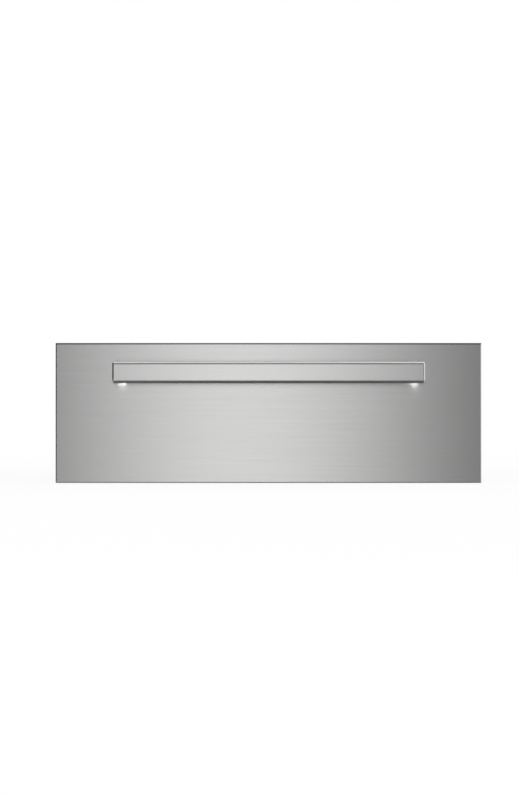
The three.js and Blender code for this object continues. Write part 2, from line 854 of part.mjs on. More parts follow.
/** Brings a section drawn from the chassis wall outwards to its place at one side. */
function slideSection(hand, points) {
  return points.map(([out, up, ...bend]) => [hand * (legHalf - out), slideAxis + up, ...bend]);
}

/** A round raceway groove along a member, above and below the axis. */
function racewayGrooves(hand, out, up, radius, along) {
  const x = hand * (legHalf - out);
  const grooves = [-1, 1].map((way) => rod('y', [x, slideAxis + way * up], 2 * radius, along, 16));
  return joined(...grooves);
}

/** Flat lands on the back of a member's turned edges, into which its raceways are rolled. */
function racewayLands(hand, [near, far], edge, along) {
  const lands = [-1, 1].map((way) => {
    const ends = [way * (edge - racewayDepth), way * (edge + racewayDepth)].sort((a, b) => a - b);
    const heights = ends.map((end) => slideAxis + end);
    return block(across(hand, legHalf - far, legHalf - near), along, heights);
  });
  return joined(...lands);
}

/** Screw holes through the web of a member. */
function webHoles(hand, [near, far], places) {
  const holes = places.map((y) =>
    rod('x', [y, slideAxis], slideHole, across(hand, legHalf - far, legHalf - near), 8),
  );
  return joined(...holes);
}

const slideRun = [slideFront, slideRear];
const throughSlide = [slideFront - 1, slideRear + 1];
const screwInset = slideLength * 0.08;
const screwPlaces = [slideFront + screwInset, (slideFront + slideRear) / 2, slideRear - screwInset];

/** Outer member: a channel whose edges curl round the outer balls, with a stop tab at the rear. */
function outerMember(hand) {
  const web = outerGauge / 2;
  const edge = outerEdge - outerGauge / 2;
  const lip = outerBallPlace + outerCurl + outerGauge / 2;
  const half = [
    [web, edge, outerGauge / 2],
    [lip, edge, outerCurl],
    [lip, outerBallHeight - clearance],
  ];
  const lower = half.map(([out, up, bend]) => [out, -up, bend]).reverse();
  const section = bentStrip(slideSection(hand, [...lower, ...half]), outerGauge, outerGauge, 3);
  const tab = block(
    across(hand, legHalf - outerGauge - slideStopTab, legHalf - outerGauge / 2),
    [slideRear + clearance, slideRear + clearance + outerGauge],
    [slideAxis - slideStopTab, slideAxis + slideStopTab],
  );
  const run = [slideFront, slideRear + 2 * outerGauge];
  return prism('y', section, run).subtract(webHoles(hand, [-1, outerGauge + 1], screwPlaces)).add(tab);
}

/** Middle member: grooved on its outside for the outer balls, curled inside round the inner balls. */
function middleMember(hand) {
  const edge = middleEdge - middleGauge / 2;
  const lip = innerBallPlace + innerCurl + middleGauge / 2;
  const half = [
    [middleWeb, edge, middleGauge / 2],
    [lip, edge, innerCurl],
    [lip, innerBallHeight - clearance],
  ];
  const lower = half.map(([out, up, bend]) => [out, -up, bend]).reverse();
  const section = bentStrip(slideSection(hand, [...lower, ...half]), middleGauge, middleGauge, 3);
  const lands = racewayLands(hand, [middleWeb, innerBallPlace], middleEdge, slideRun);
  const grooves = racewayGrooves(hand, outerBallPlace, outerBallHeight, outerCurl, throughSlide);
  const windows = screwPlaces.map((y) =>
    block(
      across(hand, legHalf - middleWeb - middleGauge, legHalf - middleWeb + middleGauge),
      about(y, 3.2 * slideHole),
      about(slideAxis, 2 * slideHole),
    ),
  );
  return cut(prism('y', section, slideRun).add(lands), grooves, ...windows);
}

/** Drawer member: a channel that faces the chassis, grooved on its turned edges for the inner balls. */
function drawerMember(hand) {
  const edge = drawerMemberEdge - drawerMemberGauge / 2;
  const centreline = [
    [landStart, -edge],
    [drawerMemberWeb, -edge],
    [drawerMemberWeb, edge],
    [landStart, edge],
  ];
  const section = bentStrip(slideSection(hand, centreline), drawerMemberGauge, drawerMemberGauge / 2, 3);
  const lands = racewayLands(hand, [landStart, innerBallPlace + innerCurl], drawerMemberEdge, slideRun);
  const grooves = racewayGrooves(hand, innerBallPlace, innerBallHeight, innerCurl, throughSlide);
  const holes = webHoles(hand, [drawerMemberWeb - drawerMemberGauge, slideThickness + 1], screwPlaces);
  return cut(prism('y', section, slideRun).add(lands), grooves, holes);
}

/** Ball cage: a thin channel whose legs hold a row of balls above and one below the axis. */
function ballCage(hand, web, ballOut, ballUp, ballDiameter) {
  const start = slideFront + cageInset;
  const legEnd = ballOut + ballDiameter / 2;
  const centreline = [
    [legEnd, -ballUp],
    [web, -ballUp],
    [web, ballUp],
    [legEnd, ballUp],
  ];
  const section = bentStrip(slideSection(hand, centreline), cageGauge);
  const strip = prism('y', section, [start, start + cageLength]);
  const pitch = (cageLength - 2 * ballDiameter) / (ballsPerRow - 1);
  const balls = [-1, 1].flatMap((way) =>
    Array.from({ length: ballsPerRow }, (_, i) => {
      const y = start + ballDiameter + i * pitch;
      const ball = new THREE.SphereGeometry(ballDiameter / 2, 6, 4);
      return solidOf(ball.translate(hand * (legHalf - ballOut), y, slideAxis + way * ballUp));
    }),
  );
  return joined(strip, ...balls);
}

for (const { side, hand } of sides) {
  place(chassis, `${side}_outer_member`, outerMember(hand), zincPlate);
  place(
    chassis,
    `${side}_outer_ball_cage`,
    ballCage(hand, outerCageWeb, outerBallPlace, outerBallHeight, outerBall),
    bearingSteel,
  );
  place(chassis, `${side}_middle_member`, middleMember(hand), zincPlate);
  place(
    chassis,
    `${side}_inner_ball_cage`,
    ballCage(hand, innerCageWeb, innerBallPlace, innerBallHeight, innerBall),
    bearingSteel,
  );
  place(drawer, `${side}_drawer_member`, drawerMember(hand), zincPlate);
}

// ---------------------------------------------------------------- chassis

/** Section of a pressed bead about x: a trapezium between two heights, widened by a margin. */
function beadSection(x, [foot, head], margin) {
  const reach = beadWidth / 2;
  return outlineOf([
    [x - reach - margin, foot],
    [x - reach / 2 - margin / 2, head],
    [x + reach / 2 + margin / 2, head],
    [x + reach + margin, foot],
  ]);
}

/** Base: a tray with three stiffening beads pressed up along it. */
function basePan() {
  const half = insideHalf - clearance;
  const rear = rearInside - clearance;
  const tray = block([-half, half], [0, rear], [0, baseLip]);
  const inside = block(
    [-half + sheetGauge, half - sheetGauge],
    [sheetGauge, rear - sheetGauge],
    [sheetGauge, baseLip + 1],
  );
  const middles = [-half / 2, 0, half / 2];
  const run = [insulationInset, rear - insulationInset];
  const pressed = middles.map((x) =>
    prism('y', beadSection(x, [sheetGauge / 2, sheetGauge + beadHeight], sheetGauge), run),
  );
  const hollowRun = [run[0] + sheetGauge, run[1] - sheetGauge];
  const hollows = middles.map((x) => prism('y', beadSection(x, [-sheetGauge, beadHeight], 0), hollowRun));
  return cut(joined(cut(tray, inside), ...pressed), ...hollows);
}

/** A row of cooling slots about a middle place, as solids to cut with. */
function slotRow(middle, makeSlot) {
  const start = middle - (slotPitch * (slotCount - 1)) / 2;
  return joined(...Array.from({ length: slotCount }, (_, i) => makeSlot(start + i * slotPitch)));
}

const sideTopLip = recessTop - clearance;

/** Side panel: its top edge turned in under the top cover, with cooling slots beside the controls. */
function sidePanel(hand) {
  const wall = chassisHalf - sheetGauge / 2;
  const centreline = [
    [wall, 0],
    [wall, sideTopLip - sheetGauge / 2],
    [wall - sheetLip, sideTopLip - sheetGauge / 2],
  ];
  const section = bentStrip(turnedOver(hand, centreline), sheetGauge);
  const panel = prism('y', section, [sheetSetBack, chassisDepth]);
  const slots = slotRow(chassisDepth / 2, (y) =>
    block(
      across(hand, chassisHalf - 2 * sheetGauge, chassisHalf + sheetGauge),
      about(y, slotWidth),
      [ceilingTop + slotWidth, sideTopLip - sheetGauge - slotWidth],
    ),
  );
  // The turned edge stops short of the top cover's lip in front and of the back panel behind.
  const notches = [
    [0, Math.max(sheetSetBack, sheetGauge + fit)],
    [rearInside - clearance, chassisDepth + 1],
  ].map((ends) =>
    block(
      across(hand, chassisHalf - 2 * sheetLip, insideHalf - clearance),
      ends,
      [sideTopLip - 2 * sheetGauge, recessTop],
    ),
  );
  return cut(panel, slots, ...notches);
}

/** Angle down each side of the front: one leg inside the chassis, one screwed to the cabinet face. */
function mountingFlange(hand) {
  const centreline = [
    [legHalf - flangeGauge / 2, flangeLeg],
    [legHalf - flangeGauge / 2, -flangeGauge / 2],
    [chassisHalf + flangeReach, -flangeGauge / 2],
  ];
  const height = [baseLip + clearance, chassisHeight - flangeEndGap];
  const angle = prism('z', bentStrip(turnedOver(hand, centreline), flangeGauge, flangeGauge / 4), height);
  const holeX = hand * (chassisHalf + flangeReach - flangeScrewInset);
  const run = height[1] - height[0];
  const holes = [0.12, 0.5, 0.88].map((share) =>
    rod('y', [holeX, height[0] + share * run], flangeScrewHole, [-flangeGauge - 1, 1], 10),
  );
  return cut(angle, ...holes);
}

const inletPlace = chassisHalf - inletInset;
const inletAxis = [inletPlace, (ceilingTop + sideTopLip) / 2];

/** Back: its side and top edges turned forward, with a hole for the cord gland and cooling slots. */
function backPanel() {
  const half = insideHalf - clearance;
  const edges = [rearInside - sheetLip - 1, rearInside];
  const through = [rearInside - 1, chassisDepth + 1];
  const tray = block([-half, half], [rearInside - sheetLip, chassisDepth], [clearance, sideTopLip]);
  const inside = block([-half + sheetGauge, half - sheetGauge], edges, [-1, sideTopLip - sheetGauge]);
  const baseNotch = block([-half - 1, half + 1], edges, [-1, baseLip + clearance]);
  const ceilingNotch = block([-half - 1, half + 1], edges, [
    ceilingBottom - sheetLip - clearance,
    ceilingTop + clearance,
  ]);
  const topCorners = [-1, 1].map((hand) =>
    block(across(hand, chassisHalf - sheetLip - sheetGauge - clearance, chassisHalf), edges, [
      sideTopLip - sheetGauge - clearance,
      sideTopLip + 1,
    ]),
  );
  const gland = rod('y', inletAxis, glandBody + fit, through, 16);
  const slots = slotRow(0, (x) =>
    block(about(x, slotWidth), through, [ceilingTop + slotWidth, sideTopLip - sheetGauge - slotWidth]),
  );
  return cut(tray, inside, baseNotch, ceilingNotch, ...topCorners, gland, slots);
}

const junctionRear = rearInside - sheetLip - junctionOverlap;
const junctionY = [junctionRear - junctionDepth, junctionRear];
const junctionX = about(inletPlace, junctionOpening);

/** Top: a lip turned down over the control recess, cooling slots, and an opening over the wiring. */
function topCover() {
  const plate = block([-chassisHalf, chassisHalf], [clearance, chassisDepth], [recessTop, chassisHeight]);
  const lip = block(
    [-railHalf, railHalf],
    [clearance, clearance + sheetGauge],
    [recessTop - topCoverLip, chassisHeight],
  );
  const through = [recessTop - 1, chassisHeight + 1];
  const corners = [-1, 1].map((hand) =>
    block(across(hand, railHalf, chassisHalf + 1), [0, sheetSetBack], through),
  );
  const rows = [-1, 1].map((hand) =>
    slotRow(chassisDepth / 2, (y) =>
      block(about((hand * chassisHalf) / 2, slotLength), about(y, slotWidth), through),
    ),
  );
  const opening = block(junctionX, junctionY, through);
  return cut(plate.add(lip), ...corners, ...rows, opening);
}

/** Plate over the wiring, with its edges turned down a little and a screw hole at each end. */
function junctionCover() {
  const under = chassisHeight + clearance;
  const xs = [junctionX[0] - junctionOverlap, junctionX[1] + junctionOverlap];
  const ys = [junctionY[0] - junctionOverlap, junctionY[1] + junctionOverlap];
  const plate = prism('z', roundedRectangle(xs, ys, junctionOverlap / 2, 2), [under, under + sheetGauge]);
  const raised = prism('z', roundedRectangle(junctionX, junctionY, junctionOverlap / 2, 2), [
    under,
    under + 2 * sheetGauge,
  ]);
  const hollow = prism(
    'z',
    roundedRectangle(
      [junctionX[0] + sheetGauge, junctionX[1] - sheetGauge],
      [junctionY[0] + sheetGauge, junctionY[1] - sheetGauge],
      junctionOverlap / 3,
      2,
    ),
    [under - 1, under + sheetGauge],
  );
  const middle = (ys[0] + ys[1]) / 2;
  const holes = [xs[0] + junctionOverlap / 2, xs[1] - junctionOverlap / 2].map((x) =>
    rod('z', [x, middle], junctionScrewHole, [under - 1, under + 2 * sheetGauge + 1], 8),
  );
  return cut(plate.add(raised), hollow, ...holes);
}

/** Ceiling of the heated space, its side edges turned down, with a hole for the sensor. */
function cavityCeiling() {
  const half = insideHalf - clearance - sheetGauge / 2;
  const middle = ceilingTop - sheetGauge / 2;
  const centreline = [
    [-half, ceilingBottom - sheetLip],
    [-half, middle],
    [half, middle],
    [half, ceilingBottom - sheetLip],
  ];
  const sheet = prism('y', bentStrip(centreline, sheetGauge), [ceilingFront, rearInside - clearance]);
  const through = [ceilingBottom - 1, ceilingTop + 1];
  return cut(sheet, rod('z', [sensorPlace, ceilingDevicePlace], sensorDiameter + fit, through, 10));
}

/** Rail over the drawer opening: a lip that the seal meets, and the shelf of the control recess. */
function controlRail() {
  const centreline = [
    [-flangeGauge + railGauge / 2, railBottom],
    [-flangeGauge + railGauge / 2, recessFloor - railGauge / 2],
    [shelfDepth, recessFloor - railGauge / 2],
  ];
  return prism('x', bentStrip(centreline, railGauge), [-railHalf, railHalf]);
}

/** Rail under the drawer opening, turned back along its top edge. */
function bottomRail() {
  const middle = -flangeGauge + railGauge / 2;
  const centreline = [
    [middle, footGap],
    [middle, bottomRailTop - railGauge / 2],
    [sheetLip, bottomRailTop - railGauge / 2],
  ];
  return prism('x', bentStrip(centreline, railGauge), [-railHalf, railHalf]);
}

place(chassis, 'base_pan', basePan(), galvanised);
for (const { side, hand } of sides) {
  place(chassis, `${side}_side_panel`, sidePanel(hand), galvanised);
  place(chassis, `${side}_mounting_flange`, mountingFlange(hand), galvanised);
}
place(chassis, 'back_panel', backPanel(), galvanised);
place(chassis, 'top_cover', topCover(), galvanised);
place(chassis, 'junction_cover', junctionCover(), galvanised);
place(chassis, 'cavity_ceiling', cavityCeiling(), galvanised);
place(chassis, 'control_rail', controlRail(), stainless);
place(chassis, 'bottom_rail', bottomRail(), stainless);

// ---------------------------------------------------------------- insulation and heat

const battHalf = insideHalf - insulationInset;
const battRear = rearInside - insulationInset;

/** Batt on the base, under the reflector. */
function baseInsulation() {
  return block([-battHalf, battHalf], [insulationInset, battRear], [
    insulationFloor,
    insulationFloor + baseInsulationThickness,
  ]);
}

const ceilingBattFront = ceilingDevicePlace + insulationInset;

/** Batt on the ceiling, behind the sensor and the limit thermostat and clear of the wiring space. */
function ceilingInsulation() {
  const foot = ceilingTop + clearance;
  return block([-battHalf, battHalf], [ceilingBattFront, junctionY[0]], [
    foot,
    foot + ceilingInsulationThickness,
  ]);
}

/** Bright tray that throws the heat up at the drawer. */
function heatReflector() {
  const top = reflectorTop + reflectorLip;
  const tray = block([-battHalf, battHalf], [insulationInset, battRear], [reflectorFloor, top]);
  const inside = block(
    [-battHalf + reflectorGauge, battHalf - reflectorGauge],
    [insulationInset + reflectorGauge, battRear - reflectorGauge],
    [reflectorTop, top + 1],
  );
  return cut(tray, inside);
}

const elementOuterRun = battHalf - elementSideInset;
const elementInnerRun = elementOuterRun / 3;
const elementFront = elementFrontInset;
const elementRear = rearInside - elementRearInset;
const elementTurn = elementRear - 2.5 * elementBend;

/** Sheathed element, bent in one level to an M with both ends at the rear. */
function heatingElement() {
  const half = [
    [elementTail, elementRear],
    [elementTail, elementTurn],
    [elementOuterRun, elementTurn],
    [elementOuterRun, elementFront],
    [elementInnerRun, elementFront],
    [elementInnerRun, elementTurn - 3 * elementBend],
  ];
  const other = half.map(([x, y]) => [-x, y]).reverse();
  return bentRod(new BentPath([...half, ...other], elementBend, elementAxis), elementDiameter);
}

/** Support under the element: a stamped post with an open saddle for the tube. */
function elementSupport(x) {
  const reach = supportWidth / 2;
  const saddle = elementDiameter / 2 + clearance;
  const outline = outlineOf([
    [x - reach, reflectorTop + clearance],
    [x + reach, reflectorTop + clearance],
    [x + reach, elementAxis + 1],
    [x + saddle, elementAxis + 1],
    ...arc([x, elementAxis], saddle, 0, -180, 6),
    [x - saddle, elementAxis + 1],
    [x - reach, elementAxis + 1],
  ]);
  return prism('y', outline, about(supportPlace, supportThickness));
}

/** Upright plate with a foot, through which both ends of the element pass. */
function elementTerminalPlate() {
  const y = elementRear - elementBend / 2;
  const foot = reflectorTop + clearance + terminalPlateGauge / 2;
  const centreline = [
    [y - terminalPlateFoot, foot],
    [y, foot],
    [y, foot + terminalPlateHeight],
  ];
  const half = elementTail + elementDiameter + supportThickness;
  const plate = prism('x', bentStrip(centreline, terminalPlateGauge), [-half, half]);
  const through = about(y, 2 * terminalPlateGauge);
  const holes = [-1, 1].map((hand) =>
    rod('y', [hand * elementTail, elementAxis], elementDiameter + fit, through, 12),
  );
  return cut(plate, ...holes);
}

place(chassis, 'base_insulation', baseInsulation(), mineralWool);
place(chassis, 'ceiling_insulation', ceilingInsulation(), mineralWool);
place(chassis, 'heat_reflector', heatReflector(), stainless);
place(chassis, 'heating_element', heatingElement(), elementSheath);
place(chassis, 'element_terminal_plate', elementTerminalPlate(), zincPlate);
for (const { side, hand } of sides) {
  place(chassis, `${side}_outer_element_support`, elementSupport(hand * elementOuterRun), ceramicWhite);
  place(chassis, `${side}_inner_element_support`, elementSupport(hand * elementInnerRun), ceramicWhite);
}

// ---------------------------------------------------------------- sensing and wiring

/** Two upright blade terminals on top of a device. */
function bladePair([x, y], foot, spread) {
  const blades = [-1, 1].map((way) =>
    block(about(x + (way * spread) / 2, bladeGauge), about(y, bladeWidth), [foot - 1, foot + bladeHeight]),
  );
  return joined(...blades);
}

/** Probe that hangs through the ceiling from its flange. */
function temperatureSensor() {
  const flangeFoot = ceilingTop + clearance;
  const radius = sensorDiameter / 2;
  return turnedUpright(
    [sensorPlace, ceilingDevicePlace],
    [
      [0, ceilingBottom - sensorDrop],
      [radius * 0.6, ceilingBottom - sensorDrop],
      [radius, ceilingBottom - sensorDrop + radius / 2],
      [radius, flangeFoot],
      [sensorFlange / 2, flangeFoot],
      [sensorFlange / 2, flangeFoot + sheetGauge],
      [radius, flangeFoot + sheetGauge],
      [radius, flangeFoot + sensorFlange],
      [0, flangeFoot + sensorFlange],
    ],
    12,
  );
}

/** Disc thermostat that cuts the heat if the ceiling gets too hot. */
function limitThermostat() {
  const foot = ceilingTop + clearance;
  const radius = limitDiameter / 2;
  const disc = turnedUpright(
    [limitPlace, ceilingDevicePlace],
    [
      [0, foot],
      [radius * 1.25, foot],
      [radius * 1.25, foot + sheetGauge],
      [radius, foot + sheetGauge],
      [radius, foot + limitHeight / 2],
      [radius * 0.8, foot + limitHeight / 2],
      [radius * 0.8, foot + limitHeight],
      [0, foot + limitHeight],
    ],
    16,
  );
  return disc.add(bladePair([limitPlace, ceilingDevicePlace], foot + limitHeight, radius));
}

/** Terminal block on the ceiling beside the cord gland: a row of barriers with a screw well each. */
function terminalBlock() {
  const foot = ceilingTop + clearance;
  const y = (junctionY[0] + junctionY[1]) / 2;
  const half = terminalBlockLength / 2;
  const pitch = terminalBlockLength / terminalWays;
  const head = foot + terminalBlockHeight;
  const body = block(about(inletPlace, terminalBlockLength), about(y, terminalBlockDepth), [foot, head]);
  const wells = Array.from({ length: terminalWays }, (_, i) => {
    const x = inletPlace - half + (i + 0.5) * pitch;
    const floor = foot + terminalBlockHeight * 0.55;
    return block(about(x, pitch * 0.76), about(y, 2 * terminalBlockDepth), [floor, head + 1]);
  });
  return cut(body, ...wells);
}

/** Gland in the back panel: body through the sheet, collar outside, bore for a supply cord. */
function cordGland() {
  const sheetOut = chassisDepth + clearance;
  const bore = glandBore / 2;
  const body = glandBody / 2;
  const collar = glandCollar / 2;
  return turnedAlongY(
    inletAxis,
    [
      [bore, rearInside - sheetLip / 2],
      [body, rearInside - sheetLip / 2],
      [body, sheetOut],
      [collar, sheetOut],
      [collar, sheetOut + glandProud * 0.3],
      [body * 0.9, sheetOut + glandProud * 0.45],
      [body * 0.8, sheetOut + glandProud],
      [bore, sheetOut + glandProud],
      [bore, rearInside - sheetLip / 2],
    ],
    16,
  );
}

place(chassis, 'temperature_sensor', temperatureSensor(), zincPlate);
place(chassis, 'limit_thermostat', limitThermostat(), ceramicWhite);
place(chassis, 'terminal_block', terminalBlock(), ceramicWhite);
place(chassis, 'cord_gland', cordGland(), blackPlastic);

// ---------------------------------------------------------------- controls
// They stand in a recess over the drawer opening, behind the closed front.

const fasciaFoot = recessFloor + clearance;
const fasciaHead = sideTopLip - sheetGauge - clearance;

/** Fascia: a channel with its edges turned back, pierced for the controls. */
function controlFascia() {
  const middle = fasciaSetback + sheetGauge / 2;
  const rear = fasciaSetback + fasciaReturn;
  const centreline = [
    [rear, fasciaFoot + sheetGauge / 2],
    [middle, fasciaFoot + sheetGauge / 2],
    [middle, fasciaHead - sheetGauge / 2],
    [rear, fasciaHead - sheetGauge / 2],
  ];
  const channel = prism('x', bentStrip(centreline, sheetGauge), [-railHalf, railHalf]);
  const through = [fasciaSetback - 1, fasciaBack + 1];
  const holes = [
    rod('y', [knobPlace, controlAxis], shaftDiameter + fit, through, 12),
    rod('y', [powerPlace, controlAxis], buttonDiameter + fit, through, 16),
    rod('y', [timerPlace, controlAxis], buttonDiameter + fit, through, 16),
    rod('y', [lensPlace, controlAxis], lensDiameter + fit, through, 12),
  ];
  return cut(channel, ...holes);
}

/** Rotary heat control behind the fascia, with its shaft out through it and two terminals behind. */
function heatControl() {
  const front = fasciaBack + clearance;
  const body = turnedAlongY(
    [knobPlace, controlAxis],
    [
      [0, fasciaSetback - shaftReach],
      [shaftDiameter / 2, fasciaSetback - shaftReach],
      [shaftDiameter / 2, front],
      [heatControlDiameter * 0.45, front],
      [heatControlDiameter / 2, front + heatControlDiameter * 0.05],
      [heatControlDiameter / 2, front + heatControlDepth],
      [0, front + heatControlDepth],
    ],
    20,
  );
  const rear = front + heatControlDepth;
  const blades = [-1, 1].map((way) =>
    block(
      about(knobPlace + (way * heatControlDiameter) / 4, bladeGauge),
      [rear - 1, rear + bladeHeight],
      about(controlAxis, bladeWidth),
    ),
  );
  return joined(body, ...blades);
}

/** Fluted knob with a skirt, a raised pointer and a bore that fits the shaft. */
function temperatureKnob() {
  const back = fasciaSetback - clearance;
  const front = back - knobDepth;
  const radius = knobDiameter / 2;
  const knob = turnedAlongY(
    [knobPlace, controlAxis],
    [
      [0, front],
      [radius * 0.86, front],
      [radius * 0.96, front + knobFrontBevel],
      [radius, back - knobSkirtDepth],
      [knobSkirt / 2, back - knobSkirtDepth],
      [knobSkirt / 2, back],
      [0, back],
    ],
    28,
  );
  const bore = rod('y', [knobPlace, controlAxis], shaftDiameter + fit, [
    fasciaSetback - shaftReach - clearance,
    back + 1,
  ]);
  const flutes = Array.from({ length: knobFlutes }, (_, i) => {
    const angle = ((i + 0.5) / knobFlutes) * 2 * Math.PI;
    const at = radius + fluteDiameter / 2 - fluteDepth;
    const centre = [knobPlace + at * Math.sin(angle), controlAxis + at * Math.cos(angle)];
    return rod('y', centre, fluteDiameter, [front - 1, back - knobSkirtDepth], 6);
  });
  const pointer = block(
    about(knobPlace, pointerWidth),
    [front - pointerProud, front + knobFrontBevel],
    [controlAxis + radius * 0.25, controlAxis + radius * 0.82],
  );
  return cut(knob, bore, ...flutes).add(pointer);
}

/** Push button: a dished cap through the fascia, a flange behind it and a stem to the switch. */
function pushButton(x) {
  const flangeFront = fasciaBack + clearance;
  const cap = buttonDiameter / 2;
  const stemEnd = fasciaBack + boardSetback - tactHeight - buttonTravel - clearance;
  return turnedAlongY(
    [x, controlAxis],
    [
      [0, fasciaSetback - buttonProud + 0.6],
      [cap * 0.6, fasciaSetback - buttonProud + 0.2],
      [cap * 0.85, fasciaSetback - buttonProud],
      [cap, fasciaSetback - buttonProud + 0.8],
      [cap, flangeFront],
      [cap + buttonFlange, flangeFront],
      [cap + buttonFlange, flangeFront + sheetGauge],
      [buttonStem / 2, flangeFront + sheetGauge],
      [buttonStem / 2, stemEnd],
      [0, stemEnd],
    ],
    16,
  );
}

/** Pilot lens, domed in front, held by its flange. */
function indicatorLens() {
  const flangeFront = fasciaBack + clearance;
  const radius = lensDiameter / 2;
  return turnedAlongY(
    [lensPlace, controlAxis],
    [
      [0, fasciaSetback - radius * 0.5],
      [radius * 0.7, fasciaSetback - radius * 0.35],
      [radius, fasciaSetback],
      [radius, flangeFront],
      [radius + buttonFlange, flangeFront],
      [radius + buttonFlange, flangeFront + 2 * sheetGauge],
      [0, flangeFront + 2 * sheetGauge],
    ],
    16,
  );
}

const boardMiddle = (powerPlace + lensPlace) / 2;
const boardFront = fasciaBack + boardSetback;

/** Circuit board on four pillars, with two tact switches in front and parts behind. */
function controlBoard() {
  const half = boardLength / 2;
  const rear = boardFront + boardThickness;
  const core = boardFront + boardThickness / 2;
  const board = block(about(boardMiddle, boardLength), [boardFront, rear], about(controlAxis, boardHeight));
  const pillars = [-1, 1].flatMap((hand) =>
    [-1, 1].map((way) => {
      const x = boardMiddle + hand * (half - boardPillar);
      const z = controlAxis + way * (boardHeight / 2 - boardPillar);
      return rod('y', [x, z], boardPillar, [fasciaBack + clearance, core], 8);
    }),
  );
  const tacts = [powerPlace, timerPlace].map((x) =>
    block(about(x, tactWidth), [boardFront - tactHeight, core], about(controlAxis, tactWidth)),
  );
  const relay = block(
    about(boardMiddle + half * 0.45, half * 0.3),
    [core, rear + relayHeight],
    about(controlAxis, boardHeight * 0.6),
  );
  const capacitor = rod(
    'y',
    [boardMiddle - half * 0.35, controlAxis],
    capacitorDiameter,
    [core, rear + capacitorHeight],
    12,
  );
  const connector = block(
    about(boardMiddle + half * 0.8, half * 0.16),
    [core, rear + connectorHeight],
    about(controlAxis, boardHeight * 0.7),
  );
  return joined(board, ...pillars, ...tacts, relay, capacitor, connector);
}

/** Moulded cover behind the board, open to the fascia, with a notch for the wiring. */
function controlHousing() {
  const half = boardLength / 2 + clearance;
  const foot = fasciaFoot + sheetGauge + clearance;
  const head = fasciaHead - sheetGauge - clearance;
  const front = fasciaBack + clearance;
  const rear = front + housingDepth;
  const shell = block(about(boardMiddle, 2 * (half + housingWall)), [front, rear], [foot, head]);
  const inside = block(about(boardMiddle, 2 * half), [front - 1, rear - housingWall], [
    foot + housingWall,
    head - housingWall,
  ]);
  const notch = block(about(boardMiddle + half * 0.8, half * 0.2), [rear - 2 * housingWall, rear + 1], [
    foot + 2 * housingWall,
    head - 2 * housingWall,
  ]);
  return cut(shell, inside, notch);
}

place(chassis, 'control_fascia', controlFascia(), stainless);
place(chassis, 'heat_control', heatControl(), blackPlastic);
place(chassis, 'temperature_knob', temperatureKnob(), blackPlastic);
place(chassis, 'power_button', pushButton(powerPlace), blackPlastic);
place(chassis, 'timer_button', pushButton(timerPlace), blackPlastic);
place(chassis, 'indicator_lens', indicatorLens(), lensRed);
place(chassis, 'control_board', controlBoard(), boardGreen);
place(chassis, 'control_housing', controlHousing(), blackPlastic);

// ---------------------------------------------------------------- the whole

const warmingDrawer = new THREE.Group();
warmingDrawer.add(chassis, drawer);
// The origin is under the middle of the whole, on the ground.
const rearmost = chassisDepth + clearance + glandProud;
warmingDrawer.position.y = -(barFront + rearmost) / 2;

export default warmingDrawer;
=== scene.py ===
"""Built in warming drawer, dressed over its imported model."""

import math

import bpy
import numpy as np
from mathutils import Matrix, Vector


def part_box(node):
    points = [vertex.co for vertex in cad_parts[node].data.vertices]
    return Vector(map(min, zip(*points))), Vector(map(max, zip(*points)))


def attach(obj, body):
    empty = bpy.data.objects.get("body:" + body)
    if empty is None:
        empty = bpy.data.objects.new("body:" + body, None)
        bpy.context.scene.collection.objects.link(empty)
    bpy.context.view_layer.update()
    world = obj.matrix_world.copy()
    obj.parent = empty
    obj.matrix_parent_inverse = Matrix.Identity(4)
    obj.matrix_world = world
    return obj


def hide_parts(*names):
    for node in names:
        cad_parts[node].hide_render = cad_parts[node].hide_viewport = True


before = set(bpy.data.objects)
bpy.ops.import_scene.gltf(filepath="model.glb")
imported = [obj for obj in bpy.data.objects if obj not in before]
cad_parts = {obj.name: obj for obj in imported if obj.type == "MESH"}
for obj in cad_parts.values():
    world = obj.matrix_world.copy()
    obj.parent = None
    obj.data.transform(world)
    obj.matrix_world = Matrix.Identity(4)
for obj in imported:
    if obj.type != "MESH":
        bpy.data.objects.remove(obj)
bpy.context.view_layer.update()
front_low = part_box("front_skin")[0]


# ---------------------------------------------------------------- camera
# The photograph looks straight at the front through a long lens, about four metres away and
# level with the upper half of the face, so all its edges stay parallel.

camera_away = 4.0  # metres in front of the face
camera_across = -0.01685  # from the middle of the part
camera_level = 0.1516  # above the lower edge of the face
camera_data = bpy.data.cameras.new("photo_camera")
camera_data.lens = 102.12
camera_data.clip_end = 60
camera = bpy.data.objects.new("photo_camera", camera_data)
bpy.context.collection.objects.link(camera)
camera.location = (camera_across, front_low.y - camera_away, front_low.z + camera_level)
camera.rotation_euler = (math.radians(90), 0, 0)
bpy.context.scene.camera = camera
bpy.context.scene.view_settings.view_transform = "Standard"


# ---------------------------------------------------------------- studio
# A pale floor in a white room. Bare metal mirrors a studio worked out from the direction it faces:
# a soft light in front, white walls on the right, behind and straight overhead, a card low on the
# left, pale floor at the sides, and dark cloth between them, which draws the edges.


def node_graph(name):
    """A new material; returns it, its nodes, its linker and its Principled shader."""
    material = bpy.data.materials.new(name)
    material.use_nodes = True
    tree = material.node_tree
    return material, tree.nodes, tree.links.new, tree.nodes["Principled BSDF"]


def worked_out(nodes, link, operation, *values):
    """One Math node on sources or plain numbers."""
    step = nodes.new("ShaderNodeMath")
    step.operation = operation
    for i, value in enumerate(values):
        if isinstance(value, bpy.types.NodeSocket):
            link(value, step.inputs[i])
        else:
            step.inputs[i].default_value = value
    return step.outputs[0]


